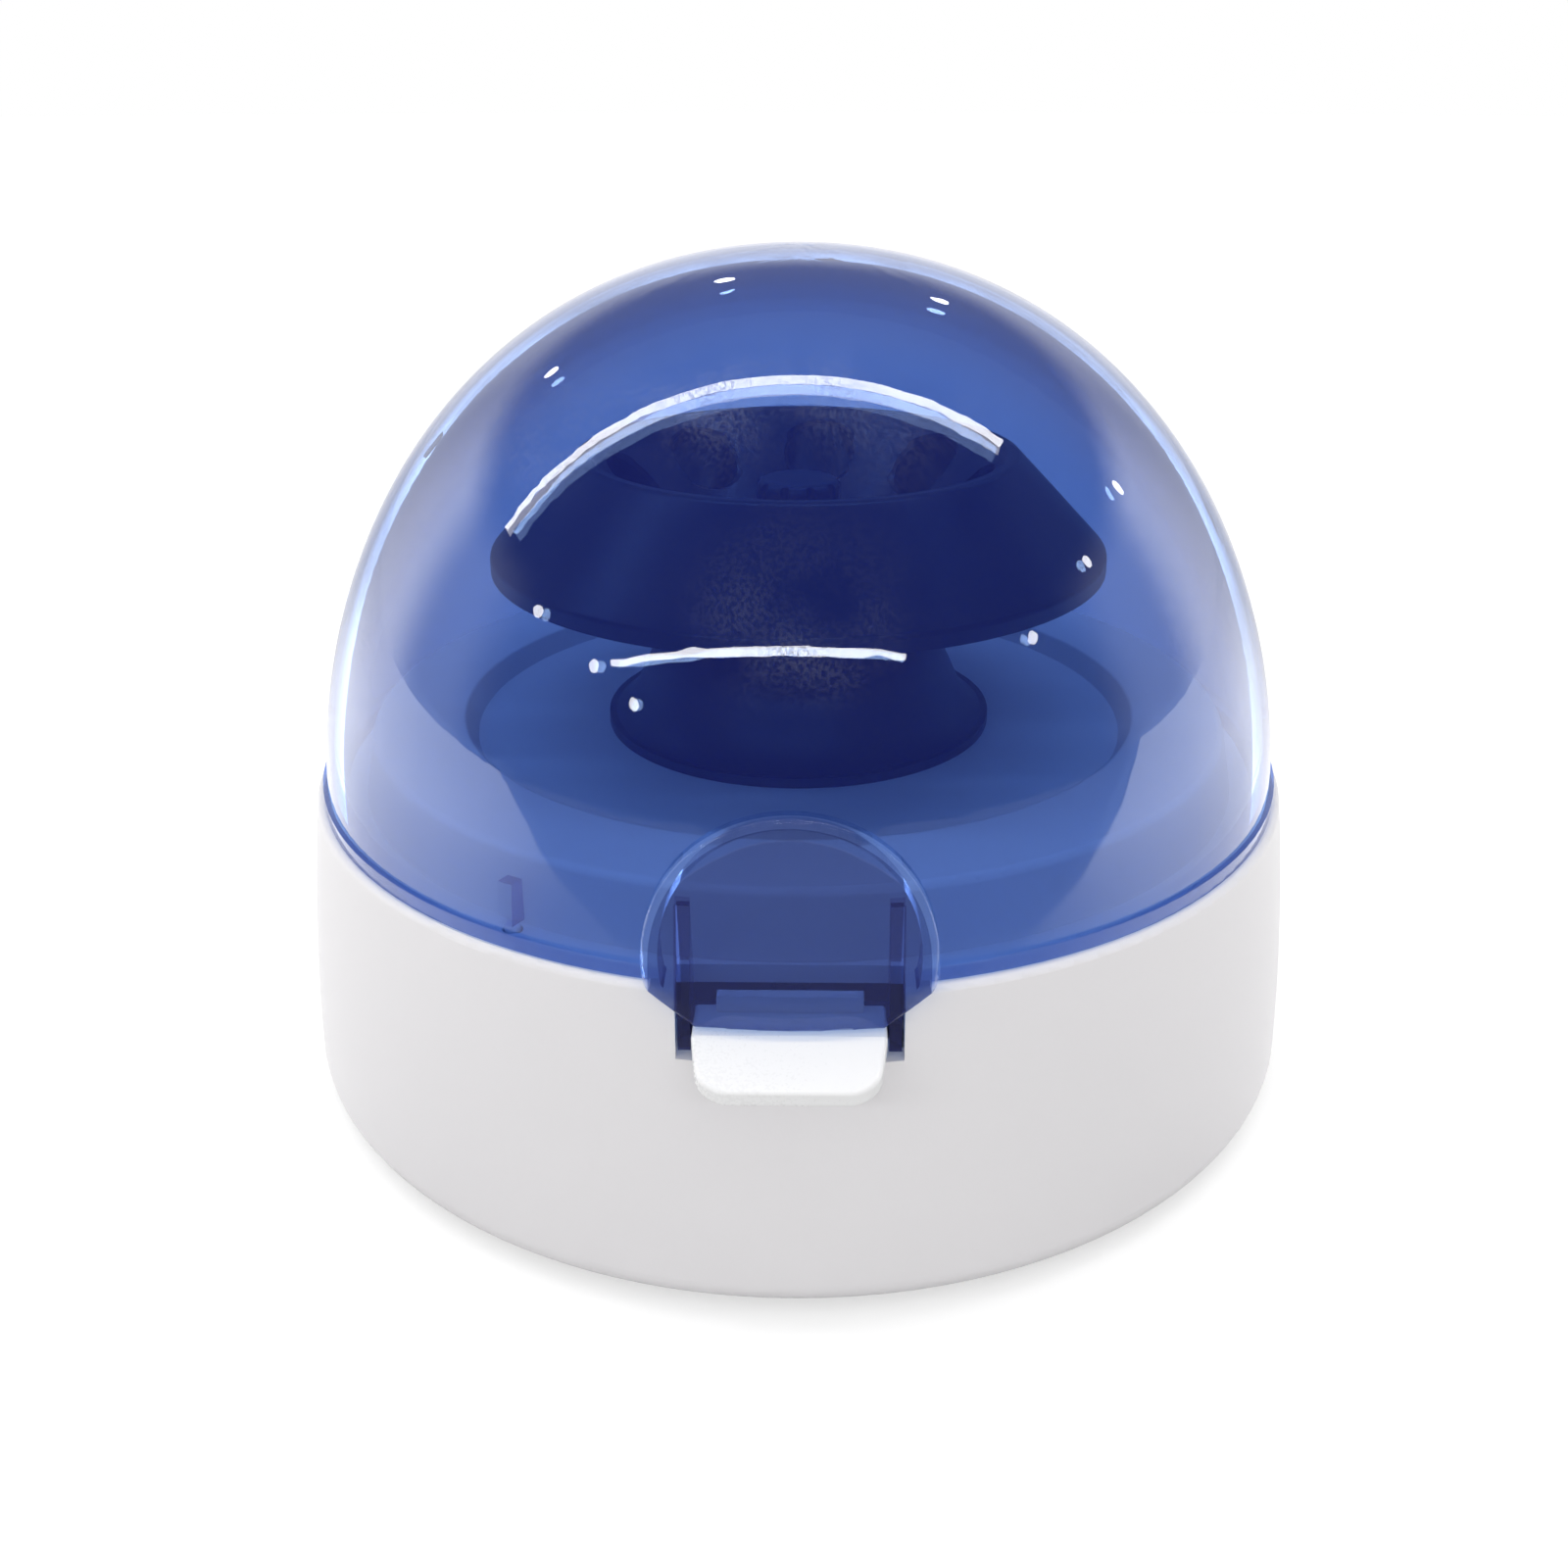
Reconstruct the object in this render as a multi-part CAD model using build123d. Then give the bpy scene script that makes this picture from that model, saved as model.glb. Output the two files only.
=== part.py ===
from build123d import *
import math
import os

# A round bench-top mini centrifuge: a moulded base, a see-through domed lid hinged at the rear,
# a press-down latch at the front, and an eight-place rotor on a direct-drive motor.
# Millimetres. +Z is up, the latch faces -Y, and the origin lies on the standing plane under
# the middle of the footprint. Heights are measured from that plane.

# Gaps and fits
gap_moving = 0.3
gap_running = 0.05
gap_seat = 0.02

# Base housing
foot_stand_out = 1.5
seam_height = 43.5
base_top_radius = 72.0
base_foot_flare = 2.8
base_side_bulge = 0.67
base_foot_round = 3.4
base_top_round = 0.9
base_wall = 2.4
shoulder_width = 7.0
deck_slope_width = 1.6
deck_rise = 8.7
deck_width = 13.1
bowl_edge_width = 1.8
bowl_depth = 2.9
deck_hole_radius = 24.0
deck_edge_round = 1.2

# Bottom cover, its opening and its screws
cover_rim_width = 4.6
cover_ledge_width = 2.2
cover_ledge_height = 2.6
cover_thickness = 2.3
cover_recess = 0.4
cover_screw_inset = 9.1
cover_screw_angle = 31.6
screw_post_radius = 3.5
m3_radius = 1.5
m3_head_radius = 2.8
m3_head_height = 1.3
m3_socket_radius = 1.2
m3_socket_depth = 0.9
cover_screw_length = 9.0
vent_slot_count = 8
vent_arc_gap = 120.0
vent_slot_length = 16.0
vent_slot_width = 2.4
vent_ring_radius = 26.0
foot_radius = 7.0
foot_recess = 0.8
foot_inset = 12.2
foot_angle = 45.0
foot_chamfer = 0.5

# Lid
lid_rim_setback = 1.4
lid_wall = 2.4
dome_top_height = 119.5
dome_side_lean = 1.1
dome_side_reach = 41.1
dome_crown_reach = 42.8
dome_side_share = 0.5
dome_crown_share = 0.6
rim_gap = 0.2
rim_lip_height = 1.9
rim_lip_proud = 0.5

# Round boss on the front of the lid, with the skirt over the latch
boss_radius = 17.0
boss_centre_rise = 4.0
boss_proud = 4.0
boss_lean = 11.8
boss_edge_round = 0.5
boss_wall = 1.9
boss_draft = 21.0
boss_draft_setback = 1.0
skirt_bottom_half = 11.2
skirt_drop = 3.3
skirt_bend_rise = 0.6
skirt_gap = 0.8
rib_inner_half = 11.4
rib_thickness = 1.5
rib_top_width = 2.0
rib_top_rise = 10.0
rib_wall_gap = 0.2
rib_drop = 7.5
catch_bar_height = 2.5
catch_bar_depth = 1.2
catch_gap_plan = 0.4
catch_gap_height = 0.2

# Latch: a rocking lever with a press paddle, on a cross pin
notch_half_width = 13.2
notch_depth = 8.7
pivot_setback = 4.3
pivot_drop = 11.7
pivot_pin_radius = 1.0
pivot_eye_radius = 2.3
lever_half_width = 8.5
lever_arm_thickness = 1.5
lever_arm_setback = 2.3
hook_top_drop = 1.7
hook_nose_depth = 0.9
hook_nose_thickness = 0.6
hook_nose_slope = 2.2
paddle_half_width = 11.1
paddle_tip_half_width = 10.0
paddle_reach = 10.0
paddle_bend_reach = 2.6
paddle_drop = 3.7
paddle_thickness = 2.0
paddle_slope = 18.0
paddle_corner_round = 4.0
paddle_edge_round = 0.5
lug_thickness = 2.8
lug_radius = 2.8
arm_pocket_depth = 1.4
spring_setback = 12.0
spring_radius = 2.2
spring_wire = 0.6
spring_turns = 5
spring_least_gap = 0.4
spring_seat_drop = 2.0
spring_post_radius = 3.0
spring_peg_radius = 1.4
spring_peg_height = 1.5
rear_arm_half_width = 3.6
rear_arm_thickness = 2.0
rear_arm_overhang = 0.6

# Hinge at the rear
hinge_reach = 5.5
hinge_rise = 4.0
knuckle_radius = 4.5
hinge_pin_radius = 1.5
lid_knuckle_half = 19.7
base_lug_width = 6.0
hinge_web_inner_setback = 10.5
hinge_web_shoulder_setback = 6.5
hinge_web_drop = 17.0
hinge_web_top_step = 0.5
hinge_web_tangent = 120.0
hinge_pin_head = 0.8
hinge_pin_head_radius = 2.4
lid_arm_setback = 6.5
lid_arm_rise = 10.8
lid_arm_under_reach = 2.5
lid_arm_under_drop = 2.6
hinge_rim_room = 0.6

# Rotor
rotor_seat_height = 72.2
hole_count = 8
first_hole_angle = 7.0
hole_radius = 5.6
hole_centre_radius = 24.4
hole_centre_rise = 12.3
hole_tilt = 45.0
hole_mouth_chamfer = 0.4
rotor_rim_radius = 45.2
rotor_rim_rise = 2.1
rotor_rim_edge = 2.2
rotor_rim_round = 1.0
rotor_top_radius = 32.0
rotor_top_rise = 18.3
rotor_top_round = 1.3
crater_floor_radius = 14.0
rotor_boss_radius = 7.0
rotor_boss_rise = 7.8
rotor_hub_radius = 16.0
rotor_hub_drop = 2.4
rotor_hub_flare = 22.0
rotor_recess_radius = 8.0

# Drive line
shaft_radius = 1.5
shaft_tail = 2.4
shaft_stand_out = 4.0
adapter_radius = 4.5
adapter_flange_radius = 7.4
adapter_flange_height = 1.8
nut_radius = 6.2
nut_height = 6.0
nut_flute_count = 10
nut_flute_radius = 0.7
nut_top_round = 1.2

# Motor and its bracket
motor_radius = 14.0
motor_top_drop = 9.9
motor_length = 38.0
motor_wall = 1.2
motor_boss_radius = 5.0
motor_boss_height = 2.4
bush_radius = 3.4
bush_length = 4.0
motor_edge_round = 1.0
end_cap_thickness = 2.6
end_cap_spigot = 1.5
end_cap_round = 0.8
armature_length = 17.0
armature_shift = 1.0
armature_web = 1.6
armature_poles = 5
armature_slot = 1.6
magnet_thickness = 2.2
magnet_gap = 0.5
magnet_half_angle = 62.0
commutator_radius = 3.2
commutator_length = 5.0
terminal_offset = 9.0
terminal_length = 4.0
tag_thickness = 0.5
tag_width = 2.8
bracket_sheet = 1.6
bracket_flange_drop = 10.7
bracket_flange_radius = 35.0
bracket_round = 1.3
bracket_screw_head_radius = 3.4
bracket_post_circle = 30.0
bracket_post_count = 3
bracket_post_radius = 3.6
damper_radius = 5.0
damper_neck_radius = 3.4
damper_collar = 2.4
damper_round = 0.6
motor_screw_offset = 8.0
motor_screw_radius = 1.25
motor_screw_head_radius = 2.2
motor_screw_head_height = 1.4
motor_screw_head_round = 0.5

# Black tower round the motor, under the rotor
tower_foot_radius = 28.9
tower_foot_height = 1.4
tower_foot_edge = 1.0
tower_foot_wall = 3.4
tower_foot_rise = 0.55
tower_lean = 0.8
tower_waist_radius = 21.0
tower_waist_drop = 7.4
tower_top_radius = 13.0
tower_top_gap = 0.9
tower_wall = 2.0
tower_hole_radius = 4.0
tower_spigot_depth = 1.6
tower_spigot_wall = 1.0

# Flat panel at the rear, with the inlet and the power switch
panel_setback = 1.4
panel_half_width = 25.0
panel_half_height = 11.5
panel_thickness = 2.4
panel_recess_half = 21.5
panel_recess_half_height = 9.0
panel_recess_round = 2.0
jack_x = -12.0
jack_radius = 4.0
jack_flange_radius = 5.4
jack_flange_thickness = 1.2
jack_flange_chamfer = 0.4
jack_socket_radius = 2.8
jack_socket_depth = 9.0
jack_pin_radius = 1.05
jack_pin_length = 7.0
jack_pin_chamfer = 0.3
jack_tag_offset = 2.2
jack_tag_length = 4.0
jack_body_length = 13.0
jack_nut_flat = 10.0
jack_nut_thickness = 2.0
switch_x = 10.0
switch_bezel_width = 10.5
switch_bezel_height = 15.0
switch_bezel_thickness = 1.5
switch_bezel_round = 0.8
switch_bezel_chamfer = 0.4
switch_body_width = 8.6
switch_body_height = 13.0
switch_body_depth = 10.5
switch_tag_spacing = 4.0
switch_tag_length = 5.0
rocker_width = 6.4
rocker_half_height = 5.4
rocker_pivot_depth = 2.2
rocker_tilt = 8.0
rocker_bulge = 1.6
rocker_face_half = 4.8
rocker_end_room = 0.15
rocker_back_depth = 1.8
rocker_back_half = 2.4
rocker_side_height = 0.6
rocker_edge_round = 0.4
rocker_stub_radius = 0.8
rocker_well_depth = 4.0

# Lid switch under the shoulder, pressed by a rib of the lid
lid_switch_angle = 30.6
lid_switch_setback = 5.1
plunger_radius = 1.0
plunger_round = 0.4
plunger_hidden = 4.0
lid_switch_length = 12.8
lid_switch_width = 5.6
lid_switch_shift = 0.6
lid_switch_depth = 6.5
lid_switch_hole_offset = 3.25
lid_switch_hole = 2.0
lid_switch_hole_height = 1.0
lid_switch_tag_offset = 5.0
lid_switch_tag_length = 3.5
switch_rib_width = 2.2
switch_rib_height = 5.5
switch_rib_gap = 1.0

# Control board on the bottom cover
board_length = 46.0
board_width = 28.0
board_thickness = 1.6
board_setback = 36.0
board_height = 9.0
board_hole_inset = 3.5
board_post_radius = 2.6
board_screw_radius = 1.0
board_screw_head_radius = 1.9
board_screw_head_height = 1.2
board_screw_head_round = 0.4
board_screw_length = 4.0
capacitor_radius = 4.0
capacitor_height = 7.5
capacitor_round = 0.6
capacitor_places = ((-0.43, 0.43), (0.0, -0.43))
connector_height = 6.0
connector_places = ((0.48, 0.43), (-0.5, -0.43))
chip_width = 6.0
chip_depth = 7.0
chip_height = 2.4
chip_place = (0.48, -0.32)

# Radii and places in plan that follow from the base's radius at the seam
base_foot_radius = base_top_radius + base_foot_flare
shoulder_inner_radius = base_top_radius - shoulder_width
deck_outer_radius = shoulder_inner_radius - deck_slope_width
deck_inner_radius = deck_outer_radius - deck_width
bowl_floor_radius = deck_inner_radius - bowl_edge_width
cover_opening_radius = base_foot_radius - cover_rim_width
cover_screw_circle = cover_opening_radius - cover_screw_inset
cover_screw_x = cover_screw_circle * math.cos(math.radians(cover_screw_angle))
cover_screw_y = cover_screw_circle * math.sin(math.radians(cover_screw_angle))
foot_offset = (cover_opening_radius - foot_inset) * math.cos(math.radians(foot_angle))
lid_rim_radius = base_top_radius - lid_rim_setback
boss_draft_start = base_top_radius - boss_draft_setback
pivot_y = pivot_setback - base_top_radius
lever_arm_outer_y = lever_arm_setback - base_top_radius
paddle_reach_y = -base_top_radius - paddle_reach
paddle_bend_y = -base_top_radius - paddle_bend_reach
spring_y = spring_setback - base_top_radius
hinge_y = base_top_radius + hinge_reach
hinge_web_inner_y = base_top_radius - hinge_web_inner_setback
hinge_web_shoulder_y = base_top_radius - hinge_web_shoulder_setback
lid_arm_inner_y = base_top_radius - lid_arm_setback
lid_arm_under_y = base_top_radius + lid_arm_under_reach
panel_y = base_top_radius - panel_setback
board_y = base_top_radius - board_setback
lid_switch_radius = base_top_radius - lid_switch_setback

# Heights that follow from the seam's
cover_bottom = foot_stand_out + cover_recess
ledge_height = cover_bottom + cover_thickness
rim_height = seam_height + rim_gap
deck_height = seam_height + deck_rise
bowl_floor_height = deck_height - bowl_depth
boss_centre_height = seam_height + boss_centre_rise
skirt_bottom_height = seam_height - skirt_drop
rib_top_height = seam_height + rib_top_rise
rib_bottom_height = seam_height - rib_drop
notch_bottom_height = seam_height - notch_depth
pivot_height = seam_height - pivot_drop
hook_top_height = seam_height - hook_top_drop
paddle_top_height = seam_height - paddle_drop
spring_seat_height = seam_height - spring_seat_drop
hinge_height = seam_height + hinge_rise
panel_height = (foot_stand_out + seam_height) / 2
bracket_flange_height = bowl_floor_height - bracket_flange_drop

# Heights that follow from the rotor's seat
hole_centre_height = rotor_seat_height + hole_centre_rise
rotor_rim_height = rotor_seat_height + rotor_rim_rise
rotor_top_height = rotor_seat_height + rotor_top_rise
rotor_boss_height = rotor_seat_height + rotor_boss_rise
rotor_hub_height = rotor_seat_height - rotor_hub_drop
tower_top_height = rotor_hub_height - tower_top_gap
tower_waist_height = tower_top_height - tower_waist_drop
motor_top = tower_top_height - motor_top_drop
shaft_top = rotor_boss_height + shaft_stand_out
shaft_bottom = motor_top - motor_length - end_cap_thickness - shaft_tail

# Sizes inside the motor
magnet_inner_radius = motor_radius - motor_wall - gap_seat - magnet_thickness
armature_radius = magnet_inner_radius - magnet_gap


def profile(points):
    """A flat outline in (radius, height) from its corners."""
    return make_face(Polyline(*points, close=True))


def round_corners(face, corners):
    """Round the corners of a flat outline that lie nearest the given points."""
    for point, radius in corners:
        corner = face.vertices().sort_by_distance(Vector(*point, 0))[0]
        face = fillet(corner, radius)
    return face


def turn(face):
    """Turn a (radius, height) outline about the vertical axis."""
    return revolve(Plane.XZ * face, Axis.Z)


def side_profile(points, half_width):
    """Extrude a (y, height) outline to both sides of the middle plane."""
    return extrude(Plane.YZ * profile(points), half_width, both=True)


def rod_x(y, height, radius, half_length, x=0.0):
    """A round rod along X."""
    at = Plane((x, y, height), x_dir=(0, 1, 0), z_dir=(1, 0, 0))
    return extrude(at * Circle(radius), half_length, both=True)


def rod_y(x, height, radius, y_from, y_to):
    """A round rod along Y between two places."""
    at = Plane((x, y_from, height), x_dir=(1, 0, 0), z_dir=(0, 1, 0))
    return extrude(at * Circle(radius), y_to - y_from)


def rod_z(x, y, radius, low, high):
    """An upright round rod between two heights."""
    return Pos(x, y, low) * extrude(Circle(radius), high - low)


def block(x_from, x_to, y_from, y_to, low, high):
    """A box between two corners."""
    size = (x_to - x_from, y_to - y_from, high - low)
    middle = ((x_from + x_to) / 2, (y_from + y_to) / 2, (low + high) / 2)
    return Pos(*middle) * Box(*size)


def group(pieces):
    """Several separate solids kept as one named piece."""
    return Part(children=[solid for piece in pieces for solid in piece.solids()])


def spots(count, radius, start=0.0):
    """Places spaced evenly round the vertical axis."""
    step = 360.0 / count
    angles = [math.radians(start + step * index) for index in range(count)]
    return [(radius * math.cos(a), radius * math.sin(a)) for a in angles]


def corners_of(x, y):
    """The four places mirrored about both middle planes."""
    return [(x * side, y * end) for side in (-1, 1) for end in (-1, 1)]


def centred_block(x, y, width, depth, low, high):
    """A box centred on a place in plan, between two heights."""
    return block(x - width / 2, x + width / 2, y - depth / 2, y + depth / 2, low, high)


# Shapes that several pieces share


def base_radius_at(height):
    """Outer radius of the base's side wall at a height."""
    share = (height - foot_stand_out) / (seam_height - foot_stand_out)
    straight = base_foot_radius + (base_top_radius - base_foot_radius) * share
    return straight + base_side_bulge * 4 * share * (1 - share)


def base_outline(inset):
    """Half section of the base: its outside, or its inside when inset by the wall."""
    foot = (base_foot_radius - inset, foot_stand_out)
    top = (base_top_radius - inset, seam_height - inset)
    middle_height = (foot_stand_out + seam_height) / 2
    middle = (base_radius_at(middle_height) - inset, middle_height)
    side = ThreePointArc(foot, middle, top)
    steps = [
        top,
        (shoulder_inner_radius - inset, seam_height - inset),
        (deck_outer_radius - inset, deck_height - inset),
        (deck_inner_radius + inset, deck_height - inset),
        (bowl_floor_radius + inset, bowl_floor_height - inset),
        (0.0, bowl_floor_height - inset),
        (0.0, foot_stand_out),
        foot,
    ]
    return make_face([side, Polyline(*steps)])


def dome_outline(offset):
    """Half section of the dome, moved outwards by an offset, with its wall run on downwards."""
    rim = lid_rim_radius + offset
    crown = dome_top_height + offset
    low = rib_bottom_height
    curve = Bezier(
        (rim, seam_height),
        (rim - dome_side_lean, seam_height + dome_side_reach + offset * dome_side_share),
        (dome_crown_reach + offset * dome_crown_share, crown),
        (0.0, crown),
    )
    rest = Polyline((0.0, crown), (0.0, low), (rim, low), (rim, seam_height))
    return make_face([curve, rest])


def hinge_spread():
    """Outer half width of the hinge, over the base's two lugs."""
    return lid_knuckle_half + gap_moving + base_lug_width


def hole_axis(angle):
    """The line of a tube hole: where its mouth lies and the way it points out."""
    turned = math.radians(90.0 - angle)
    across = (math.cos(turned), math.sin(turned))
    mouth = (hole_centre_radius * across[0], hole_centre_radius * across[1], hole_centre_height)
    lean = math.radians(hole_tilt)
    out = (-across[0] * math.sin(lean), -across[1] * math.sin(lean), math.cos(lean))
    return mouth, out


def board_corners():
    """Places of the control board's four screws."""
    x = board_length / 2 - board_hole_inset
    y = board_width / 2 - board_hole_inset
    return [(dx, board_y + dy) for dx, dy in corners_of(x, y)]


def at_lid_switch(part):
    """Carry a piece drawn with its middle at the origin and +Y outwards to the lid switch."""
    return Rot(0, 0, 180.0 - lid_switch_angle) * Pos(0, lid_switch_radius, 0) * part


# Base housing


def make_base_housing():
    """The moulded base: side wall, shoulder, deck, bowl, and what hangs on its inside."""
    outside = round_corners(
        base_outline(0.0),
        [
            ((base_foot_radius, foot_stand_out), base_foot_round),
            ((base_top_radius, seam_height), base_top_round),
            ((deck_outer_radius, deck_height), deck_edge_round),
            ((deck_inner_radius, deck_height), deck_edge_round / 2),
        ],
    )
    shell = turn(outside) - turn(base_outline(base_wall))
    ledge_outer = base_radius_at(ledge_height) - base_wall / 2
    ledge_inner = cover_opening_radius - cover_ledge_width
    ledge_top = ledge_height + cover_ledge_height
    foot_ring = profile(
        [
            (cover_opening_radius, foot_stand_out),
            (base_foot_radius - base_foot_round, foot_stand_out),
            (ledge_outer, foot_stand_out + base_foot_round),
            (ledge_outer, ledge_top + cover_ledge_width),
            (ledge_inner, ledge_top),
            (ledge_inner, ledge_height),
            (cover_opening_radius, ledge_height),
        ]
    )
    housing = shell + turn(foot_ring)
    housing -= rod_z(0, 0, deck_hole_radius, bowl_floor_height - 2 * base_wall, deck_height)
    housing = add_rear_panel(housing)
    housing = add_screw_posts(housing)
    housing = add_hinge_lugs(housing)
    housing = add_latch_seat(housing)
    plunger_hole = rod_z(0, 0, plunger_radius + gap_moving, seam_height - 2 * base_wall, deck_height)
    return housing - at_lid_switch(plunger_hole)


def add_rear_panel(housing):
    """A flat, slightly sunk panel in the rear wall for the inlet and the switch."""
    inner_y = panel_y - panel_thickness
    ring = turn(base_outline(base_wall / 2))
    backing = block(
        -panel_half_width,
        panel_half_width,
        inner_y,
        base_foot_radius,
        panel_height - panel_half_height,
        panel_height + panel_half_height,
    )
    recess = block(
        -panel_recess_half,
        panel_recess_half,
        panel_y,
        base_foot_radius + base_wall,
        panel_height - panel_recess_half_height,
        panel_height + panel_recess_half_height,
    )
    recess = fillet(recess.edges().filter_by(Axis.Y), panel_recess_round)
    housing = housing + (backing & ring) - recess
    housing -= rod_y(jack_x, panel_height, jack_radius + gap_seat, inner_y, panel_y)
    half_width = switch_body_width / 2 + gap_seat
    half_height = switch_body_height / 2 + gap_seat
    housing -= block(
        switch_x - half_width,
        switch_x + half_width,
        inner_y,
        panel_y,
        panel_height - half_height,
        panel_height + half_height,
    )
    return housing


def add_screw_posts(housing):
    """Posts for the cover's screws and for the motor bracket's screws."""
    post_top = seam_height - base_wall / 2
    for x, y in corners_of(cover_screw_x, cover_screw_y):
        housing += rod_z(x, y, screw_post_radius, ledge_height, post_top)
        hole_top = ledge_height + cover_screw_length
        housing -= rod_z(x, y, m3_radius + gap_seat, foot_stand_out, hole_top)
    low = bracket_flange_height + bracket_sheet + damper_collar
    under_deck = bowl_floor_height - base_wall
    for x, y in spots(bracket_post_count, bracket_post_circle, 90.0):
        housing += rod_z(x, y, bracket_post_radius, low, under_deck + base_wall / 2)
        housing -= rod_z(x, y, m3_radius + gap_seat, low, under_deck)
    return housing


def add_hinge_lugs(housing):
    """Two lugs on the rear wall that hold the hinge pin."""
    middle = hinge_spread() - base_lug_width / 2
    tangent = math.radians(hinge_web_tangent)
    touch_y = hinge_y + knuckle_radius * math.cos(tangent)
    touch_height = hinge_height + knuckle_radius * math.sin(tangent)
    web_top = seam_height - hinge_web_top_step
    outline = [
        (hinge_web_inner_y, hinge_height - hinge_web_drop),
        (hinge_y + knuckle_radius, hinge_height),
        (touch_y, touch_height),
        (hinge_web_shoulder_y, web_top),
        (hinge_web_inner_y, web_top),
    ]
    inside = turn(base_outline(base_wall / 2))
    rim_reach = lid_rim_radius + rim_lip_proud + hinge_rim_room
    clear_of_rim = rod_z(0, 0, rim_reach, seam_height, dome_top_height)
    for side in (-1, 1):
        x = side * middle
        web = Pos(x, 0, 0) * side_profile(outline, base_lug_width / 2)
        barrel = rod_x(hinge_y, hinge_height, knuckle_radius, base_lug_width / 2, x)
        housing += (web + barrel) - inside - clear_of_rim
        housing -= rod_x(hinge_y, hinge_height, hinge_pin_radius + gap_seat, base_lug_width, x)
    return housing


def add_latch_seat(housing):
    """The notch that the latch works in, its pivot lugs and its spring's seat."""
    slot_inner_y = catch_bar_inner_y() + gap_moving
    housing -= block(
        -notch_half_width,
        notch_half_width,
        paddle_reach_y,
        slot_inner_y,
        notch_bottom_height,
        deck_height + base_wall,
    )
    housing -= block(
        -lever_half_width - gap_moving,
        lever_half_width + gap_moving,
        lever_arm_outer_y - arm_pocket_depth,
        pivot_y,
        pivot_height,
        notch_bottom_height,
    )
    wall_y = -(base_radius_at(pivot_height) - base_wall / 2)
    inside = turn(base_outline(base_wall / 2))
    for side in (-1, 1):
        x = side * (lever_half_width + gap_moving + gap_running + lug_thickness / 2)
        barrel = rod_x(pivot_y, pivot_height, lug_radius, lug_thickness / 2, x)
        web = block(
            x - lug_thickness / 2,
            x + lug_thickness / 2,
            wall_y - base_wall,
            pivot_y,
            pivot_height - lug_radius,
            pivot_height + lug_radius,
        )
        housing += (barrel + web) & inside
        housing -= rod_x(pivot_y, pivot_height, pivot_pin_radius + gap_seat, lug_thickness, x)
    under_deck = deck_height - base_wall / 2
    housing += rod_z(0, spring_y, spring_post_radius, spring_seat_height, under_deck)
    peg_low = spring_seat_height - spring_peg_height
    housing += rod_z(0, spring_y, spring_peg_radius, peg_low, spring_seat_height)
    return housing


def catch_bar_outer_y():
    """Front face of the lid's catch bar, just behind the hook's nose."""
    nose_tip = lever_arm_outer_y + lever_arm_thickness + hook_nose_depth
    return nose_tip + catch_gap_plan


def catch_bar_inner_y():
    """Rear face of the lid's catch bar and of its two ribs."""
    return catch_bar_outer_y() + catch_bar_depth


def hook_nose_bottom():
    """Underside of the hook's nose."""
    return hook_top_height - hook_nose_thickness - hook_nose_slope


# Lid


def boss_face_radius(height, offset):
    """Radius of the boss's leaning face at a height over the seam, at an offset from the rim."""
    rise = max(height - seam_height, 0.0)
    return lid_rim_radius + offset - rise * math.tan(math.radians(boss_lean))


def boss_outline(inset, bottom):
    """Front view of the round boss and the skirt under it, in (x, height)."""
    bend = seam_height + skirt_bend_rise
    radius = boss_radius - inset
    shoulder = math.sqrt(radius**2 - (boss_centre_height - bend) ** 2)
    bottom_half = skirt_bottom_half - inset / 2
    arc = ThreePointArc((-shoulder, bend), (0.0, boss_centre_height + radius), (shoulder, bend))
    rest = Polyline((shoulder, bend), (bottom_half, bottom), (-bottom_half, bottom), (-shoulder, bend))
    return make_face([arc, rest])


def boss_front(inset):
    """The boss from the middle plane outwards, with side walls that draw in."""
    reach = 2 * boss_proud
    drift = reach * math.tan(math.radians(boss_draft))
    bottom = skirt_bottom_height - (base_wall if inset else 0.0)
    near = Plane((0, -boss_draft_start, 0), x_dir=(1, 0, 0), z_dir=(0, -1, 0))
    near_outline = near * boss_outline(inset, bottom)
    far_outline = near.offset(reach) * boss_outline(inset + drift, bottom)
    return loft([near_outline, far_outline], ruled=True) + extrude(near_outline, -boss_draft_start)


def boss_body(offset, inset):
    """The part of a leaning ring round the dome that lies inside the boss's front view."""
    top = boss_centre_height + boss_radius + base_wall
    outline = profile(
        [
            (0.0, rib_bottom_height),
            (boss_face_radius(seam_height, offset), rib_bottom_height),
            (boss_face_radius(seam_height, offset), seam_height),
            (boss_face_radius(top, offset), top),
            (0.0, top),
        ]
    )
    return turn(outline) & boss_front(inset)


def is_boss_rim(edge):
    """Whether an edge runs round the boss's leaning face."""
    places = [edge.position_at(share) for share in (0.1, 0.5, 0.9)]
    off_face = [abs(math.hypot(p.X, p.Y) - boss_face_radius(p.Z, boss_proud)) for p in places]
    on_seam = max(abs(p.Z - seam_height) for p in places) < gap_running
    return max(off_face) < gap_running and not on_seam


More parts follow.
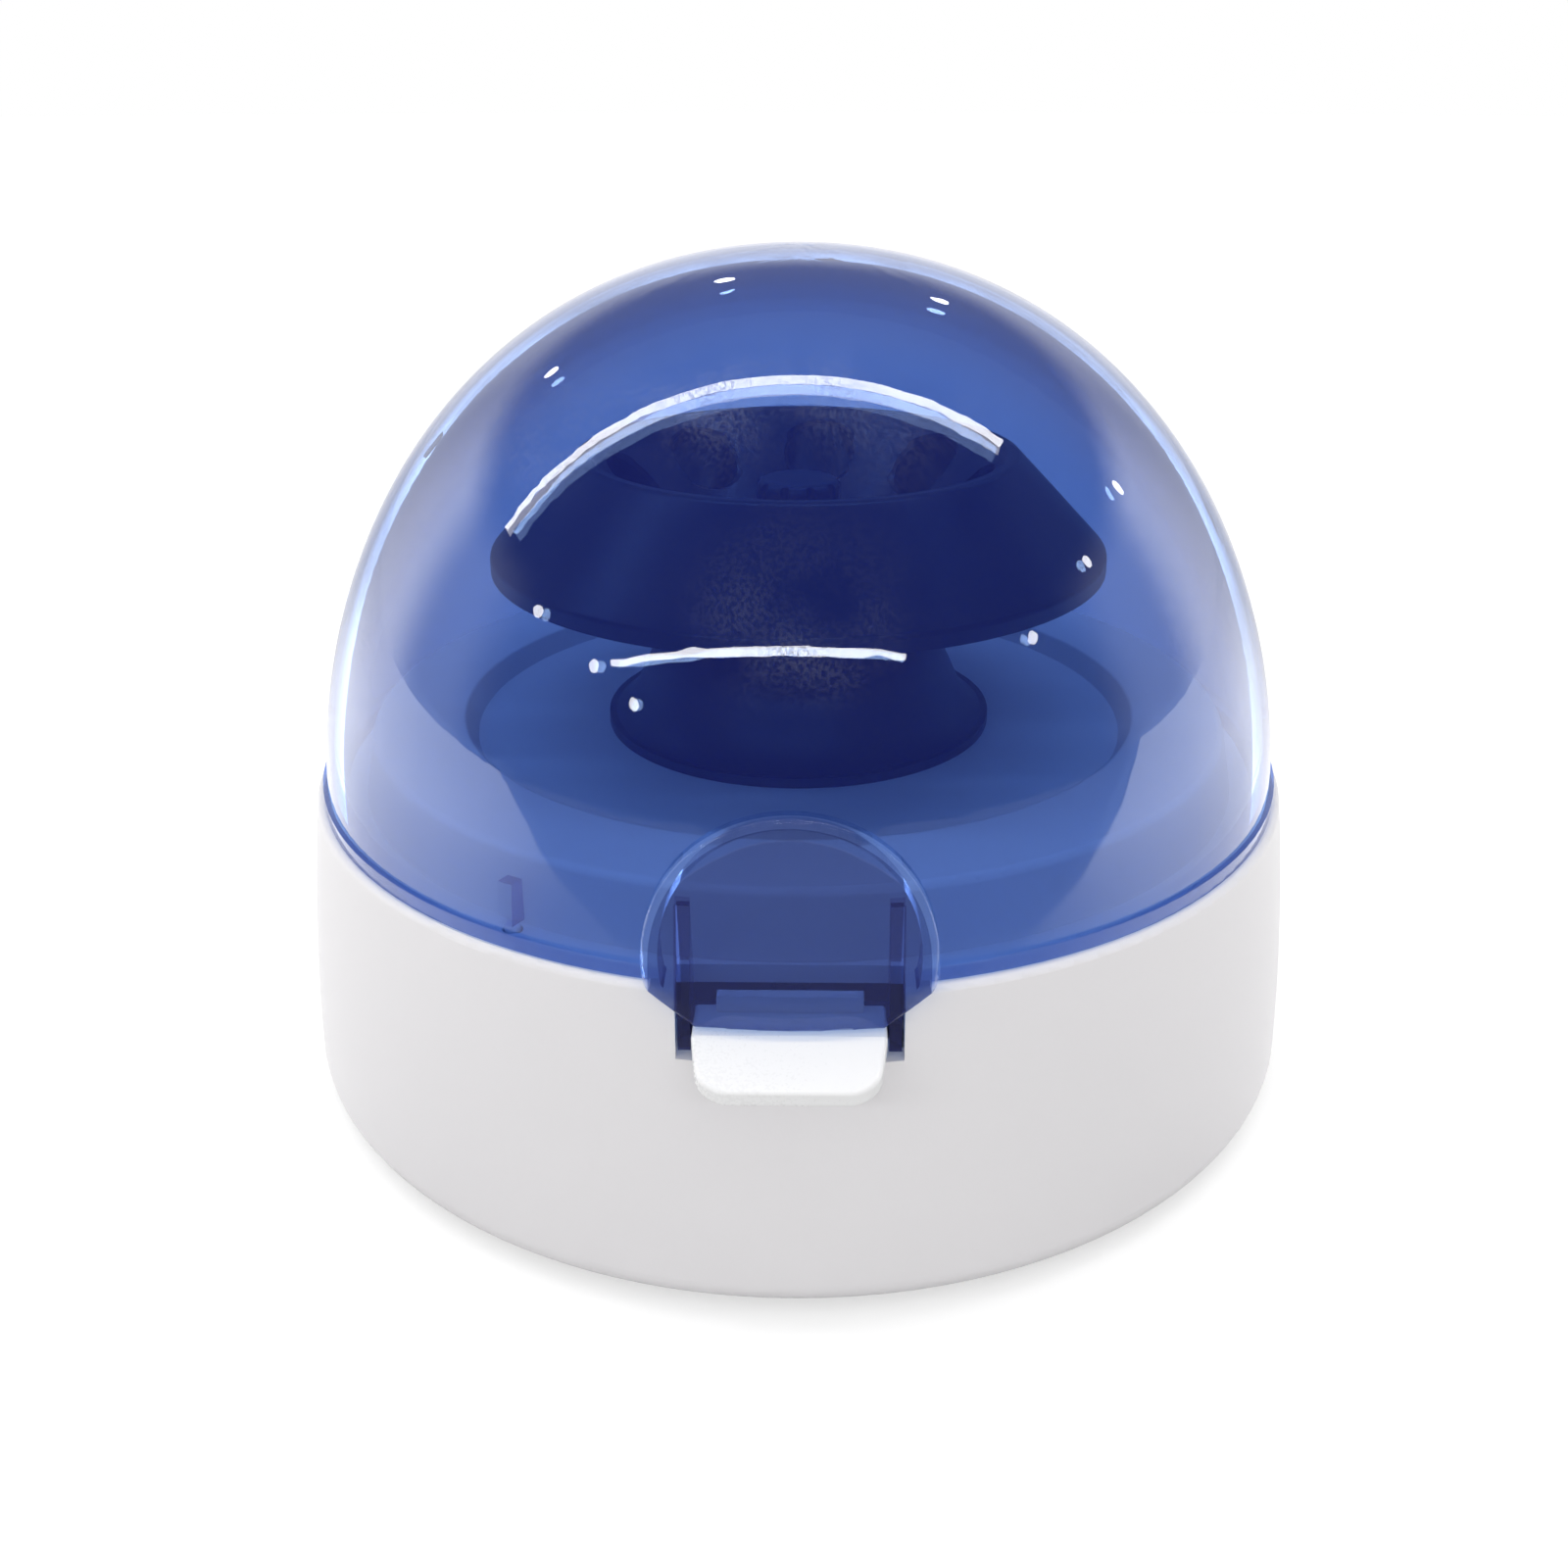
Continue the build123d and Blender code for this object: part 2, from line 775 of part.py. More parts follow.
def make_lid():
    """The see-through dome with its rim, front boss, catch, switch rib and hinge barrel."""
    dome = turn(dome_outline(0.0))
    lip_outer = lid_rim_radius + rim_lip_proud
    lip = profile(
        [
            (lid_rim_radius - lid_wall / 2, rim_height),
            (lip_outer, rim_height),
            (lip_outer, rim_height + rim_lip_height),
            (lid_rim_radius - lid_wall / 2, rim_height + rim_lip_height + rim_lip_proud),
        ]
    )
    boss = boss_body(boss_proud, 0.0)
    boss = fillet(boss.edges().filter_by(is_boss_rim), boss_edge_round)
    lid = dome + turn(lip) + boss
    barrel = rod_x(hinge_y, hinge_height, knuckle_radius, lid_knuckle_half)
    arm = side_profile(
        [
            (lid_arm_inner_y, rim_height + rim_lip_height),
            (lid_arm_under_y, hinge_height - lid_arm_under_drop),
            (hinge_y, hinge_height + knuckle_radius),
            (lid_arm_inner_y, hinge_height + lid_arm_rise),
        ],
        lid_knuckle_half,
    )
    lid += barrel + arm
    lid -= turn(dome_outline(-lid_wall))
    lid -= boss_body(boss_proud - boss_wall, boss_wall)
    lid -= rod_z(0, 0, base_top_radius + skirt_gap, 0, rim_height)
    lid -= rod_x(hinge_y, hinge_height, hinge_pin_radius + gap_running, 2 * lid_knuckle_half)
    for side in (-1, 1):
        lid += make_catch_rib(side)
    return lid + make_catch_bar() + make_switch_rib()


def make_catch_rib(side):
    """One of the two ribs that hang from the boss into the notch and carry the catch bar."""
    middle = rib_inner_half + rib_thickness / 2
    reach = boss_proud - boss_wall / 2
    top_y = -math.sqrt(boss_face_radius(rib_top_height, reach) ** 2 - middle**2)
    seam_y = -math.sqrt(boss_face_radius(seam_height, reach) ** 2 - middle**2)
    inner_y = catch_bar_inner_y()
    outline = [
        (top_y, rib_top_height),
        (seam_y, seam_height),
        (seam_y, skirt_bottom_height + skirt_bend_rise),
        (rib_wall_gap - base_top_radius, skirt_bottom_height),
        (rib_wall_gap - base_top_radius, rib_bottom_height),
        (inner_y, rib_bottom_height),
        (inner_y, seam_height),
        (top_y + rib_top_width, rib_top_height),
    ]
    return Pos(side * middle, 0, 0) * side_profile(outline, rib_thickness / 2)


def make_catch_bar():
    """The bar between the ribs that the latch's hook holds down."""
    top = hook_nose_bottom() - catch_gap_height
    half = rib_inner_half + rib_thickness / 2
    return block(
        -half, half, catch_bar_outer_y(), catch_bar_inner_y(), top - catch_bar_height, top
    )


def make_switch_rib():
    """A short rib inside the rim that presses the lid switch."""
    inner = lid_rim_radius - lid_wall - lid_switch_radius
    low = rim_height + switch_rib_gap
    rib = block(
        -switch_rib_width / 2,
        switch_rib_width / 2,
        -plunger_radius,
        inner + lid_wall / 2,
        low,
        low + switch_rib_height,
    )
    return at_lid_switch(rib)


# Hinge pin


def make_hinge_pin():
    """The pin through the base's lugs and the lid's barrel, with a low head at each end."""
    half = hinge_spread()
    pin = rod_x(hinge_y, hinge_height, hinge_pin_radius, half)
    for side in (-1, 1):
        x = side * (half + hinge_pin_head / 2)
        pin += rod_x(hinge_y, hinge_height, hinge_pin_head_radius, hinge_pin_head / 2, x)
    return pin


# Latch


def is_paddle_rim(edge):
    """Whether an edge lies on the paddle's sides or tip, and not across its bend or at its root."""
    middle = edge.center()
    root_y = lever_arm_outer_y + lever_arm_thickness
    on_bend = abs(middle.Y - paddle_bend_y) < gap_moving
    return middle.Y < root_y - gap_moving and not on_bend


def make_latch_lever():
    """The rocking lever: pivot eye, hook arm, press paddle and rear arm."""
    inner_y = lever_arm_outer_y + lever_arm_thickness
    nose_tip = inner_y + hook_nose_depth
    nose_low = hook_nose_bottom()
    hook = side_profile(
        [
            (lever_arm_outer_y, pivot_height),
            (lever_arm_outer_y, hook_top_height),
            (inner_y, hook_top_height),
            (nose_tip, nose_low + hook_nose_thickness),
            (nose_tip, nose_low),
            (inner_y, nose_low),
            (inner_y, pivot_height),
        ],
        lever_half_width,
    )
    eye = rod_x(pivot_y, pivot_height, pivot_eye_radius, lever_half_width)
    drop = (paddle_bend_y - paddle_reach_y) * math.tan(math.radians(paddle_slope))
    tip_top = paddle_top_height - drop
    paddle = side_profile(
        [
            (inner_y, paddle_top_height),
            (paddle_bend_y, paddle_top_height),
            (paddle_reach_y, tip_top),
            (paddle_reach_y, tip_top - paddle_thickness),
            (paddle_bend_y, paddle_top_height - paddle_thickness),
            (inner_y, paddle_top_height - paddle_thickness),
        ],
        paddle_half_width,
    )
    plan = profile(
        [
            (-paddle_half_width, inner_y),
            (paddle_half_width, inner_y),
            (paddle_half_width, paddle_bend_y),
            (paddle_tip_half_width, paddle_reach_y),
            (-paddle_tip_half_width, paddle_reach_y),
            (-paddle_half_width, paddle_bend_y),
        ]
    )
    plan = round_corners(
        plan,
        [
            ((paddle_tip_half_width, paddle_reach_y), paddle_corner_round),
            ((-paddle_tip_half_width, paddle_reach_y), paddle_corner_round),
        ],
    )
    paddle = paddle & extrude(plan, hook_top_height)
    paddle = fillet(paddle.edges().filter_by(is_paddle_rim), paddle_edge_round)
    rear_top = pivot_height + rear_arm_thickness / 2
    rear_end = spring_y + spring_post_radius + rear_arm_overhang
    rear = block(
        -rear_arm_half_width,
        rear_arm_half_width,
        pivot_y,
        rear_end,
        rear_top - rear_arm_thickness,
        rear_top,
    )
    peg = rod_z(0, spring_y, spring_peg_radius, rear_top, rear_top + spring_peg_height)
    lever = hook + eye + paddle + rear + peg
    return lever - rod_x(pivot_y, pivot_height, pivot_pin_radius + gap_running, 2 * lever_half_width)


def make_latch_pin():
    """The cross pin that the latch rocks on."""
    half = lever_half_width + gap_moving + gap_running + lug_thickness
    return rod_x(pivot_y, pivot_height, pivot_pin_radius, half)


def print_spring_gap(path):
    """Print the least gap between the spring's turns, measured on points along its wire."""
    steps = 24 * spring_turns
    half_turn = 12
    points = [path @ (index / steps) for index in range(steps + 1)]
    gaps = []
    for index, point in enumerate(points):
        for other in points[index + half_turn:]:
            gaps.append((other - point).length - spring_wire)
    enough = min(gaps) > spring_least_gap
    print("latch_spring least gap", round(min(gaps), 2), "mm", "enough" if enough else "too small")


def make_latch_spring():
    """The compression spring between the lever's rear arm and its seat under the deck."""
    low = pivot_height + rear_arm_thickness / 2
    rise = spring_seat_height - low - spring_wire
    start_height = low + spring_wire / 2
    quarters = 4 * spring_turns
    places = []
    for index in range(2 * quarters + 1):
        angle = math.radians(45.0 * index)
        height = start_height + rise * index / (2 * quarters)
        places.append(
            (spring_radius * math.cos(angle), spring_y + spring_radius * math.sin(angle), height)
        )
    arcs = [
        ThreePointArc(places[index], places[index + 1], places[index + 2])
        for index in range(0, 2 * quarters, 2)
    ]
    path = Wire(arcs)
    print_spring_gap(path)
    across = Plane(origin=path @ 0, z_dir=path % 0)
    return sweep(across * Circle(spring_wire / 2), path=path)


# Rotor and drive


def make_rotor():
    """The eight-place fixed-angle rotor: a crown with a crater and slanted tube holes."""
    crater_rise = hole_centre_height - hole_centre_radius
    crater_floor_height = crater_floor_radius + crater_rise
    crater_top_radius = rotor_top_height - crater_rise
    outline = profile(
        [
            (adapter_radius + gap_running, rotor_boss_height),
            (rotor_boss_radius, rotor_boss_height),
            (rotor_boss_radius, crater_floor_height),
            (crater_floor_radius, crater_floor_height),
            (crater_top_radius, rotor_top_height),
            (rotor_top_radius, rotor_top_height),
            (rotor_rim_radius, rotor_rim_height + rotor_rim_edge),
            (rotor_rim_radius, rotor_rim_height),
            (rotor_hub_flare, rotor_rim_height),
            (rotor_hub_radius, rotor_hub_height),
            (rotor_recess_radius, rotor_hub_height),
            (rotor_recess_radius, rotor_seat_height),
            (adapter_radius + gap_running, rotor_seat_height),
        ]
    )
    outline = round_corners(
        outline,
        [
            ((rotor_top_radius, rotor_top_height), rotor_top_round),
            ((rotor_rim_radius, rotor_rim_height + rotor_rim_edge), rotor_rim_round),
        ],
    )
    rotor = turn(outline)
    for index in range(hole_count):
        mouth, out = hole_axis(first_hole_angle + index * 360.0 / hole_count)
        place = Plane(origin=mouth, z_dir=out)
        bore = extrude(place * Circle(hole_radius), rotor_rim_radius, both=True)
        mouth_cone = Pos(0, 0, -hole_mouth_chamfer) * extrude(
            Circle(hole_radius), 2 * hole_mouth_chamfer, taper=-45
        )
        rotor -= bore + place * mouth_cone
    return rotor


def make_drive_adapter():
    """The turned adapter pressed on the motor shaft, which the rotor sits on."""
    flange_low = rotor_seat_height - adapter_flange_height
    outline = profile(
        [
            (shaft_radius + gap_seat, flange_low),
            (adapter_flange_radius, flange_low),
            (adapter_flange_radius, rotor_seat_height),
            (adapter_radius, rotor_seat_height),
            (adapter_radius, rotor_boss_height - gap_running),
            (shaft_radius + gap_seat, rotor_boss_height - gap_running),
        ]
    )
    return turn(outline)


def make_rotor_nut():
    """The fluted nut that clamps the rotor to the adapter."""
    low = rotor_boss_height
    top = low + nut_height
    outline = profile(
        [
            (shaft_radius + gap_seat, low),
            (nut_radius, low),
            (nut_radius, top),
            (0, top),
            (0, shaft_top + gap_moving),
            (shaft_radius + gap_seat, shaft_top + gap_moving),
        ]
    )
    nut = turn(round_corners(outline, [((nut_radius, top), nut_top_round)]))
    for x, y in spots(nut_flute_count, nut_radius):
        nut -= rod_z(x, y, nut_flute_radius, low, top)
    return nut


def make_motor_shaft():
    """The motor's shaft."""
    return rod_z(0, 0, shaft_radius, shaft_bottom, shaft_top)


def armature_middle():
    """Mid height of the armature inside the motor can."""
    return motor_top - motor_length / 2 + armature_shift


def make_motor_armature():
    """The armature: a slotted core with its commutator, on the shaft."""
    low = armature_middle() - armature_length / 2
    core = rod_z(0, 0, armature_radius, low, low + armature_length)
    for x, y in spots(armature_poles, armature_radius):
        angle = math.degrees(math.atan2(y, x))
        slot = block(
            commutator_radius + armature_web,
            armature_radius + armature_slot,
            -armature_slot / 2,
            armature_slot / 2,
            low - armature_slot,
            low + armature_length + armature_slot,
        )
        core -= Rot(0, 0, angle) * slot
    commutator = rod_z(0, 0, commutator_radius, low - commutator_length, low)
    return core + commutator - rod_z(0, 0, shaft_radius + gap_seat, 0, shaft_top)


# Motor


def make_motor_can():
    """The drawn motor can with its front boss."""
    low = motor_top - motor_length
    inside_top = motor_top - motor_wall
    outline = profile(
        [
            (motor_radius, low),
            (motor_radius, motor_top),
            (motor_boss_radius, motor_top),
            (motor_boss_radius, motor_top + motor_boss_height),
            (bush_radius + gap_seat, motor_top + motor_boss_height),
            (bush_radius + gap_seat, inside_top),
            (motor_radius - motor_wall, inside_top),
            (motor_radius - motor_wall, low),
        ]
    )
    can = turn(round_corners(outline, [((motor_radius, motor_top), motor_edge_round)]))
    for side in (-1, 1):
        x = side * motor_screw_offset
        can -= rod_z(x, 0, motor_screw_radius + gap_seat, inside_top, motor_top)
    return can


def make_motor_end_cap():
    """The moulded end cap that closes the motor can, with its bearing seat."""
    low = motor_top - motor_length - end_cap_thickness
    seat = motor_top - motor_length
    outline = profile(
        [
            (bush_radius + gap_seat, low),
            (motor_radius, low),
            (motor_radius, seat),
            (motor_radius - motor_wall - gap_seat, seat),
            (motor_radius - motor_wall - gap_seat, seat + end_cap_spigot),
            (bush_radius + gap_seat, seat + end_cap_spigot),
        ]
    )
    return turn(round_corners(outline, [((motor_radius, low), end_cap_round)]))


def make_motor_bushes():
    """The two plain bearings of the motor shaft."""
    bore = shaft_radius + gap_running
    upper_top = motor_top + motor_boss_height
    lower_low = motor_top - motor_length - end_cap_thickness
    bushes = []
    for low, high in ((motor_top - motor_wall, upper_top), (lower_low, lower_low + bush_length)):
        bushes.append(rod_z(0, 0, bush_radius, low, high) - rod_z(0, 0, bore, low, high))
    return group(bushes)


def make_motor_magnets():
    """The two curved magnets inside the can."""
    outer = motor_radius - motor_wall - gap_seat
    inner = outer - magnet_thickness
    low = armature_middle() - armature_length / 2
    ring = rod_z(0, 0, outer, low, low + armature_length)
    ring -= rod_z(0, 0, inner, low, low + armature_length)
    half = math.radians(magnet_half_angle)
    reach = 2 * motor_radius
    wedge = profile(
        [(0, 0), (reach * math.cos(half), reach * math.sin(half)), (2 * reach, 0),
         (reach * math.cos(half), -reach * math.sin(half))]
    )
    wedge = Pos(0, 0, low) * extrude(wedge, armature_length)
    return group([Rot(0, 0, turned) * (ring & wedge) for turned in (90, 270)])


def make_motor_terminals():
    """The two solder tags under the motor."""
    low = motor_top - motor_length - end_cap_thickness
    tags = [
        centred_block(side * terminal_offset, 0, tag_thickness, tag_width, low - terminal_length, low)
        for side in (-1, 1)
    ]
    return group(tags)


def make_motor_bracket():
    """The pressed cup that holds the motor, with a flange for the rubber dampers."""
    inner = motor_radius + gap_moving
    outer = inner + bracket_sheet
    top = motor_top + bracket_sheet
    low = bracket_flange_height
    outline = profile(
        [
            (motor_boss_radius + gap_moving, motor_top),
            (inner, motor_top),
            (inner, low),
            (bracket_flange_radius, low),
            (bracket_flange_radius, low + bracket_sheet),
            (outer, low + bracket_sheet),
            (outer, top),
            (motor_boss_radius + gap_moving, top),
        ]
    )
    corners = [((outer, top), bracket_round), ((outer, low + bracket_sheet), bracket_round)]
    outline = round_corners(outline, corners)
    bracket = turn(outline)
    for x, y in spots(bracket_post_count, bracket_post_circle, 90.0):
        bracket -= rod_z(x, y, damper_neck_radius + gap_seat, low, low + bracket_sheet)
    for side in (-1, 1):
        x = side * motor_screw_offset
        bracket -= rod_z(x, 0, motor_screw_radius + gap_seat, motor_top, top)
    return bracket


def make_bracket_dampers():
    """Rubber grommets between the bracket's flange and the posts of the housing."""
    low = bracket_flange_height - damper_collar
    high = bracket_flange_height + bracket_sheet + damper_collar
    dampers = []
    for x, y in spots(bracket_post_count, bracket_post_circle, 90.0):
        outline = profile(
            [
                (m3_radius + gap_seat, low),
                (damper_radius, low),
                (damper_radius, bracket_flange_height),
                (damper_neck_radius, bracket_flange_height),
                (damper_neck_radius, bracket_flange_height + bracket_sheet),
                (damper_radius, bracket_flange_height + bracket_sheet),
                (damper_radius, high),
                (m3_radius + gap_seat, high),
            ]
        )
        ends = [((damper_radius, low), damper_round), ((damper_radius, high), damper_round)]
        dampers.append(Pos(x, y, 0) * turn(round_corners(outline, ends)))
    return group(dampers)


def make_bracket_screws():
    """The screws that hold the bracket's dampers to the housing."""
    seat = bracket_flange_height - damper_collar
    top = bowl_floor_height - base_wall - gap_moving
    screws = []
    for x, y in spots(bracket_post_count, bracket_post_circle, 90.0):
        head = rod_z(x, y, bracket_screw_head_radius, seat - m3_head_height, seat)
        screws.append(head + rod_z(x, y, m3_radius, seat, top))
    return group(screws)


def make_motor_screws():
    """The two screws through the bracket into the motor's face."""
    seat = motor_top + bracket_sheet
    screws = []
    for side in (-1, 1):
        x = side * motor_screw_offset
        head = rod_z(x, 0, motor_screw_head_radius, seat, seat + motor_screw_head_height)
        head = fillet(head.edges().group_by(Axis.Z)[-1], motor_screw_head_round)
        screws.append(head + rod_z(x, 0, motor_screw_radius, motor_top - motor_wall, seat))
    return group(screws)


def make_motor_tower():
    """The black tower over the motor: a flared foot, a waist and a narrow top."""
    foot_top = bowl_floor_height + tower_foot_height
    foot_radius = tower_foot_radius - tower_foot_edge
    foot_inner_radius = foot_radius - tower_foot_wall
    top_inner = tower_top_height - tower_wall
    outside = Spline(
        (foot_radius, foot_top),
        (tower_waist_radius, tower_waist_height),
        (tower_top_radius, tower_top_height),
        tangents=[(-1, tower_foot_rise), (-tower_lean, 1)],
    )
    inside = Spline(
        (foot_inner_radius, bowl_floor_height),
        (tower_waist_radius - tower_wall, tower_waist_height - tower_wall / 2),
        (tower_top_radius - tower_wall, top_inner),
        tangents=[(-tower_lean, 1), (-tower_lean, 1)],
    )
    spigot = deck_hole_radius - gap_running
    spigot_inner = spigot - tower_spigot_wall
    spigot_low = bowl_floor_height - tower_spigot_depth
    walls = [
        outside,
        Polyline(
            (tower_top_radius, tower_top_height),
            (tower_hole_radius, tower_top_height),
            (tower_hole_radius, top_inner),
            (tower_top_radius - tower_wall, top_inner),
        ),
        inside,
        Polyline(
            (foot_inner_radius, bowl_floor_height),
            (spigot_inner, bowl_floor_height),
            (spigot_inner, spigot_low),
            (spigot, spigot_low),
            (spigot, bowl_floor_height),
            (tower_foot_radius, bowl_floor_height),
            (tower_foot_radius, foot_top),
            (foot_radius, foot_top),
        ),
    ]
    return turn(make_face(walls))


# Bottom cover, feet and screws


def make_bottom_cover():
    """The plate that closes the base, with vents, foot recesses and board posts."""
    radius = cover_opening_radius - gap_moving / 2
    cover = rod_z(0, 0, radius, cover_bottom, ledge_height)
    for x, y in corners_of(cover_screw_x, cover_screw_y):
        cover -= rod_z(x, y, m3_radius + 2 * gap_running, cover_bottom, ledge_height)
        head_top = cover_bottom + m3_head_height + gap_seat
        cover -= rod_z(x, y, m3_head_radius + gap_moving, cover_bottom, head_top)
    for x, y in corners_of(foot_offset, foot_offset):
        cover -= rod_z(x, y, foot_radius + gap_seat, cover_bottom, cover_bottom + foot_recess)
    slot = extrude(SlotOverall(vent_slot_length, vent_slot_width), cover_thickness)
    for index in range(vent_slot_count):
        angle = 90.0 + vent_arc_gap / 2 + (360.0 - vent_arc_gap) * (index + 0.5) / vent_slot_count
        cover -= Rot(0, 0, angle) * Pos(vent_ring_radius, 0, cover_bottom) * slot
    for x, y in board_corners():
        cover += rod_z(x, y, board_post_radius, cover_bottom + cover_thickness / 2, board_height)
        hole_low = board_height - board_screw_length
        cover -= rod_z(x, y, board_screw_radius + gap_seat, hole_low, board_height)
    return cover


def make_cover_screws():
    """The four screws that hold the bottom cover."""
    head_top = cover_bottom + m3_head_height + gap_seat
    top = ledge_height + cover_screw_length - gap_moving
    screws = []
    for x, y in corners_of(cover_screw_x, cover_screw_y):
        head = rod_z(x, y, m3_head_radius, cover_bottom + gap_seat, head_top)
        socket = extrude(RegularPolygon(m3_socket_radius, 6), m3_socket_depth)
        head -= Pos(x, y, cover_bottom + gap_seat) * socket
        screws.append(head + rod_z(x, y, m3_radius, head_top, top))
    return group(screws)


def make_rubber_feet():
    """The four round rubber feet."""
    feet = []
    for x, y in corners_of(foot_offset, foot_offset):
        foot = rod_z(x, y, foot_radius, 0, cover_bottom + foot_recess)
        feet.append(chamfer(foot.edges().group_by(Axis.Z)[0], foot_chamfer))
    return group(feet)


# Inlet and power switch


def make_dc_jack():
    """The round low-voltage inlet, with its contact pin."""
    face_y = panel_y + jack_flange_thickness
    end_y = face_y - jack_body_length
    body = rod_y(jack_x, panel_height, jack_radius, end_y, panel_y)
    flange = rod_y(jack_x, panel_height, jack_flange_radius, panel_y, face_y)
    flange = chamfer(flange.edges().group_by(Axis.Y)[-1], jack_flange_chamfer)
    jack = body + flange
    floor_y = face_y - jack_socket_depth
    jack -= rod_y(jack_x, panel_height, jack_socket_radius, floor_y, face_y)
    pin = rod_y(jack_x, panel_height, jack_pin_radius, floor_y - jack_pin_radius, floor_y + jack_pin_length)
    jack += chamfer(pin.edges().group_by(Axis.Y)[-1], jack_pin_chamfer)
    for side in (-1, 1):
        x = jack_x + side * jack_tag_offset
        jack += block(
            x - tag_thickness / 2,
            x + tag_thickness / 2,
            end_y - jack_tag_length,
            end_y,
            panel_height - jack_pin_radius,
            panel_height + jack_pin_radius,
        )
    return jack


def make_jack_nut():
    """The nut that clamps the inlet behind the panel."""
    inner_y = panel_y - panel_thickness
    at = Plane((jack_x, inner_y, panel_height), x_dir=(1, 0, 0), z_dir=(0, -1, 0))
    ring = RegularPolygon(jack_nut_flat / 2, 6, major_radius=False) - Circle(jack_radius + gap_seat)
    return extrude(at * ring, jack_nut_thickness)


def make_switch_body():
    """The switch's frame and body, snapped into the panel."""
    face_y = panel_y + switch_bezel_thickness
    back_y = panel_y - switch_body_depth
    bezel = block(
        switch_x - switch_bezel_width / 2,
        switch_x + switch_bezel_width / 2,
        panel_y,
        face_y,
        panel_height - switch_bezel_height / 2,
        panel_height + switch_bezel_height / 2,
    )
    bezel = fillet(bezel.edges().filter_by(Axis.Y), switch_bezel_round)
    bezel = chamfer(bezel.edges().group_by(Axis.Y)[-1], switch_bezel_chamfer)
    body = block(
        switch_x - switch_body_width / 2,
        switch_x + switch_body_width / 2,
        back_y,
        panel_y,
        panel_height - switch_body_height / 2,
        panel_height + switch_body_height / 2,
    )
    pivot = panel_y - rocker_pivot_depth
    well_half = rocker_half_height + gap_moving
    well = block(
        switch_x - rocker_width / 2 - gap_moving,
        switch_x + rocker_width / 2 + gap_moving,
        pivot - rocker_well_depth,
        face_y,
        panel_height - well_half,
        panel_height + well_half,
    )
    body = bezel + body - well
    for step in (-1, 0, 1):
        height = panel_height + step * switch_tag_spacing
        body += block(
            switch_x - tag_width / 2,
            switch_x + tag_width / 2,
            back_y - switch_tag_length,
            back_y,
            height - tag_thickness / 2,
            height + tag_thickness / 2,
        )
    stub_half = switch_body_width / 2 - gap_seat
    return body + rod_x(pivot, panel_height, rocker_stub_radius, stub_half, switch_x)


def make_switch_rocker():
    """The rocker, resting in its off position."""
    pivot = panel_y - rocker_pivot_depth
    face = rocker_pivot_depth + switch_bezel_thickness + rocker_bulge
    valley = face - rocker_half_height * math.tan(math.radians(rocker_tilt))
    half = rocker_half_height - rocker_end_room
    outline = [
        (valley, 0.0),
        (face, rocker_face_half),
        (rocker_side_height, half),
        (-rocker_back_depth, rocker_back_half),
        (-rocker_back_depth, -rocker_back_half),
        (rocker_side_height, -half),
        (face, -rocker_face_half),
    ]
    at = Pos(switch_x, pivot, panel_height) * Rot(-rocker_tilt, 0, 0)
    rocker = at * side_profile(outline, rocker_width / 2)
    rocker = fillet(rocker.edges().group_by(Axis.Y)[-1], rocker_edge_round)
    bore = rocker_stub_radius + gap_running
    return rocker - rod_x(pivot, panel_height, bore, rocker_width, switch_x)


# Lid switch


def make_lid_switch_body():
    """The small switch under the shoulder that feels whether the lid is shut."""
    top = seam_height - base_wall
    low = top - lid_switch_depth
    body = centred_block(0, -lid_switch_shift, lid_switch_length, lid_switch_width, low, top)
    body -= rod_z(0, 0, plunger_radius + gap_running, top - plunger_hidden, top)
    hole_low = low + lid_switch_hole_height
    hole_high = hole_low + lid_switch_hole
    for side in (-1, 1):
        x = side * lid_switch_hole_offset
        body -= centred_block(x, 0, lid_switch_hole, 2 * lid_switch_width, hole_low, hole_high)
    for step in (-1, 0, 1):
        x = step * lid_switch_tag_offset
        body += centred_block(x, 0, tag_thickness, tag_width, low - lid_switch_tag_length, low)
    return at_lid_switch(body)


def make_lid_switch_plunger():
    """The switch's plunger, pressed down by the closed lid's rib."""
    seat = seam_height - base_wall - plunger_hidden + gap_moving
    top = rim_height + switch_rib_gap - gap_moving
    pin = rod_z(0, 0, plunger_radius, seat, top)
    pin = fillet(pin.edges().group_by(Axis.Z)[-1], plunger_round)
    return at_lid_switch(pin)


# Control board


def make_control_board():
    """The control board on its four posts."""
    top = board_height + board_thickness
    board = centred_block(0, board_y, board_length, board_width, board_height, top)
    for x, y in board_corners():
        board -= rod_z(x, y, board_screw_radius + gap_running, board_height, top)
    return board


def on_board(share_x, share_y):
    """A place on the control board, as shares of its half length and half width."""
    return share_x * board_length / 2, board_y + share_y * board_width / 2


def make_board_parts():
    """What is soldered on the control board: capacitors, a driver and two connectors."""
    low = board_height + board_thickness
    parts = []
    for place in capacitor_places:
        x, y = on_board(*place)
        can = rod_z(x, y, capacitor_radius, low, low + capacitor_height)
        parts.append(fillet(can.edges().group_by(Axis.Z)[-1], capacitor_round))
    x, y = on_board(*chip_place)
    parts.append(centred_block(x, y, chip_width, chip_depth, low, low + chip_height))
    for place in connector_places:
        x, y = on_board(*place)
        parts.append(centred_block(x, y, 2 * connector_height, connector_height, low, low + connector_height))
    return group(parts)


def make_board_screws():
    """The four small screws that hold the control board."""
    seat = board_height + board_thickness
    low = board_height - board_screw_length + gap_moving
    screws = []
    for x, y in board_corners():
        head = rod_z(x, y, board_screw_head_radius, seat, seat + board_screw_head_height)
        head = fillet(head.edges().group_by(Axis.Z)[-1], board_screw_head_round)
        screws.append(head + rod_z(x, y, board_screw_radius, low, seat))
    return group(screws)


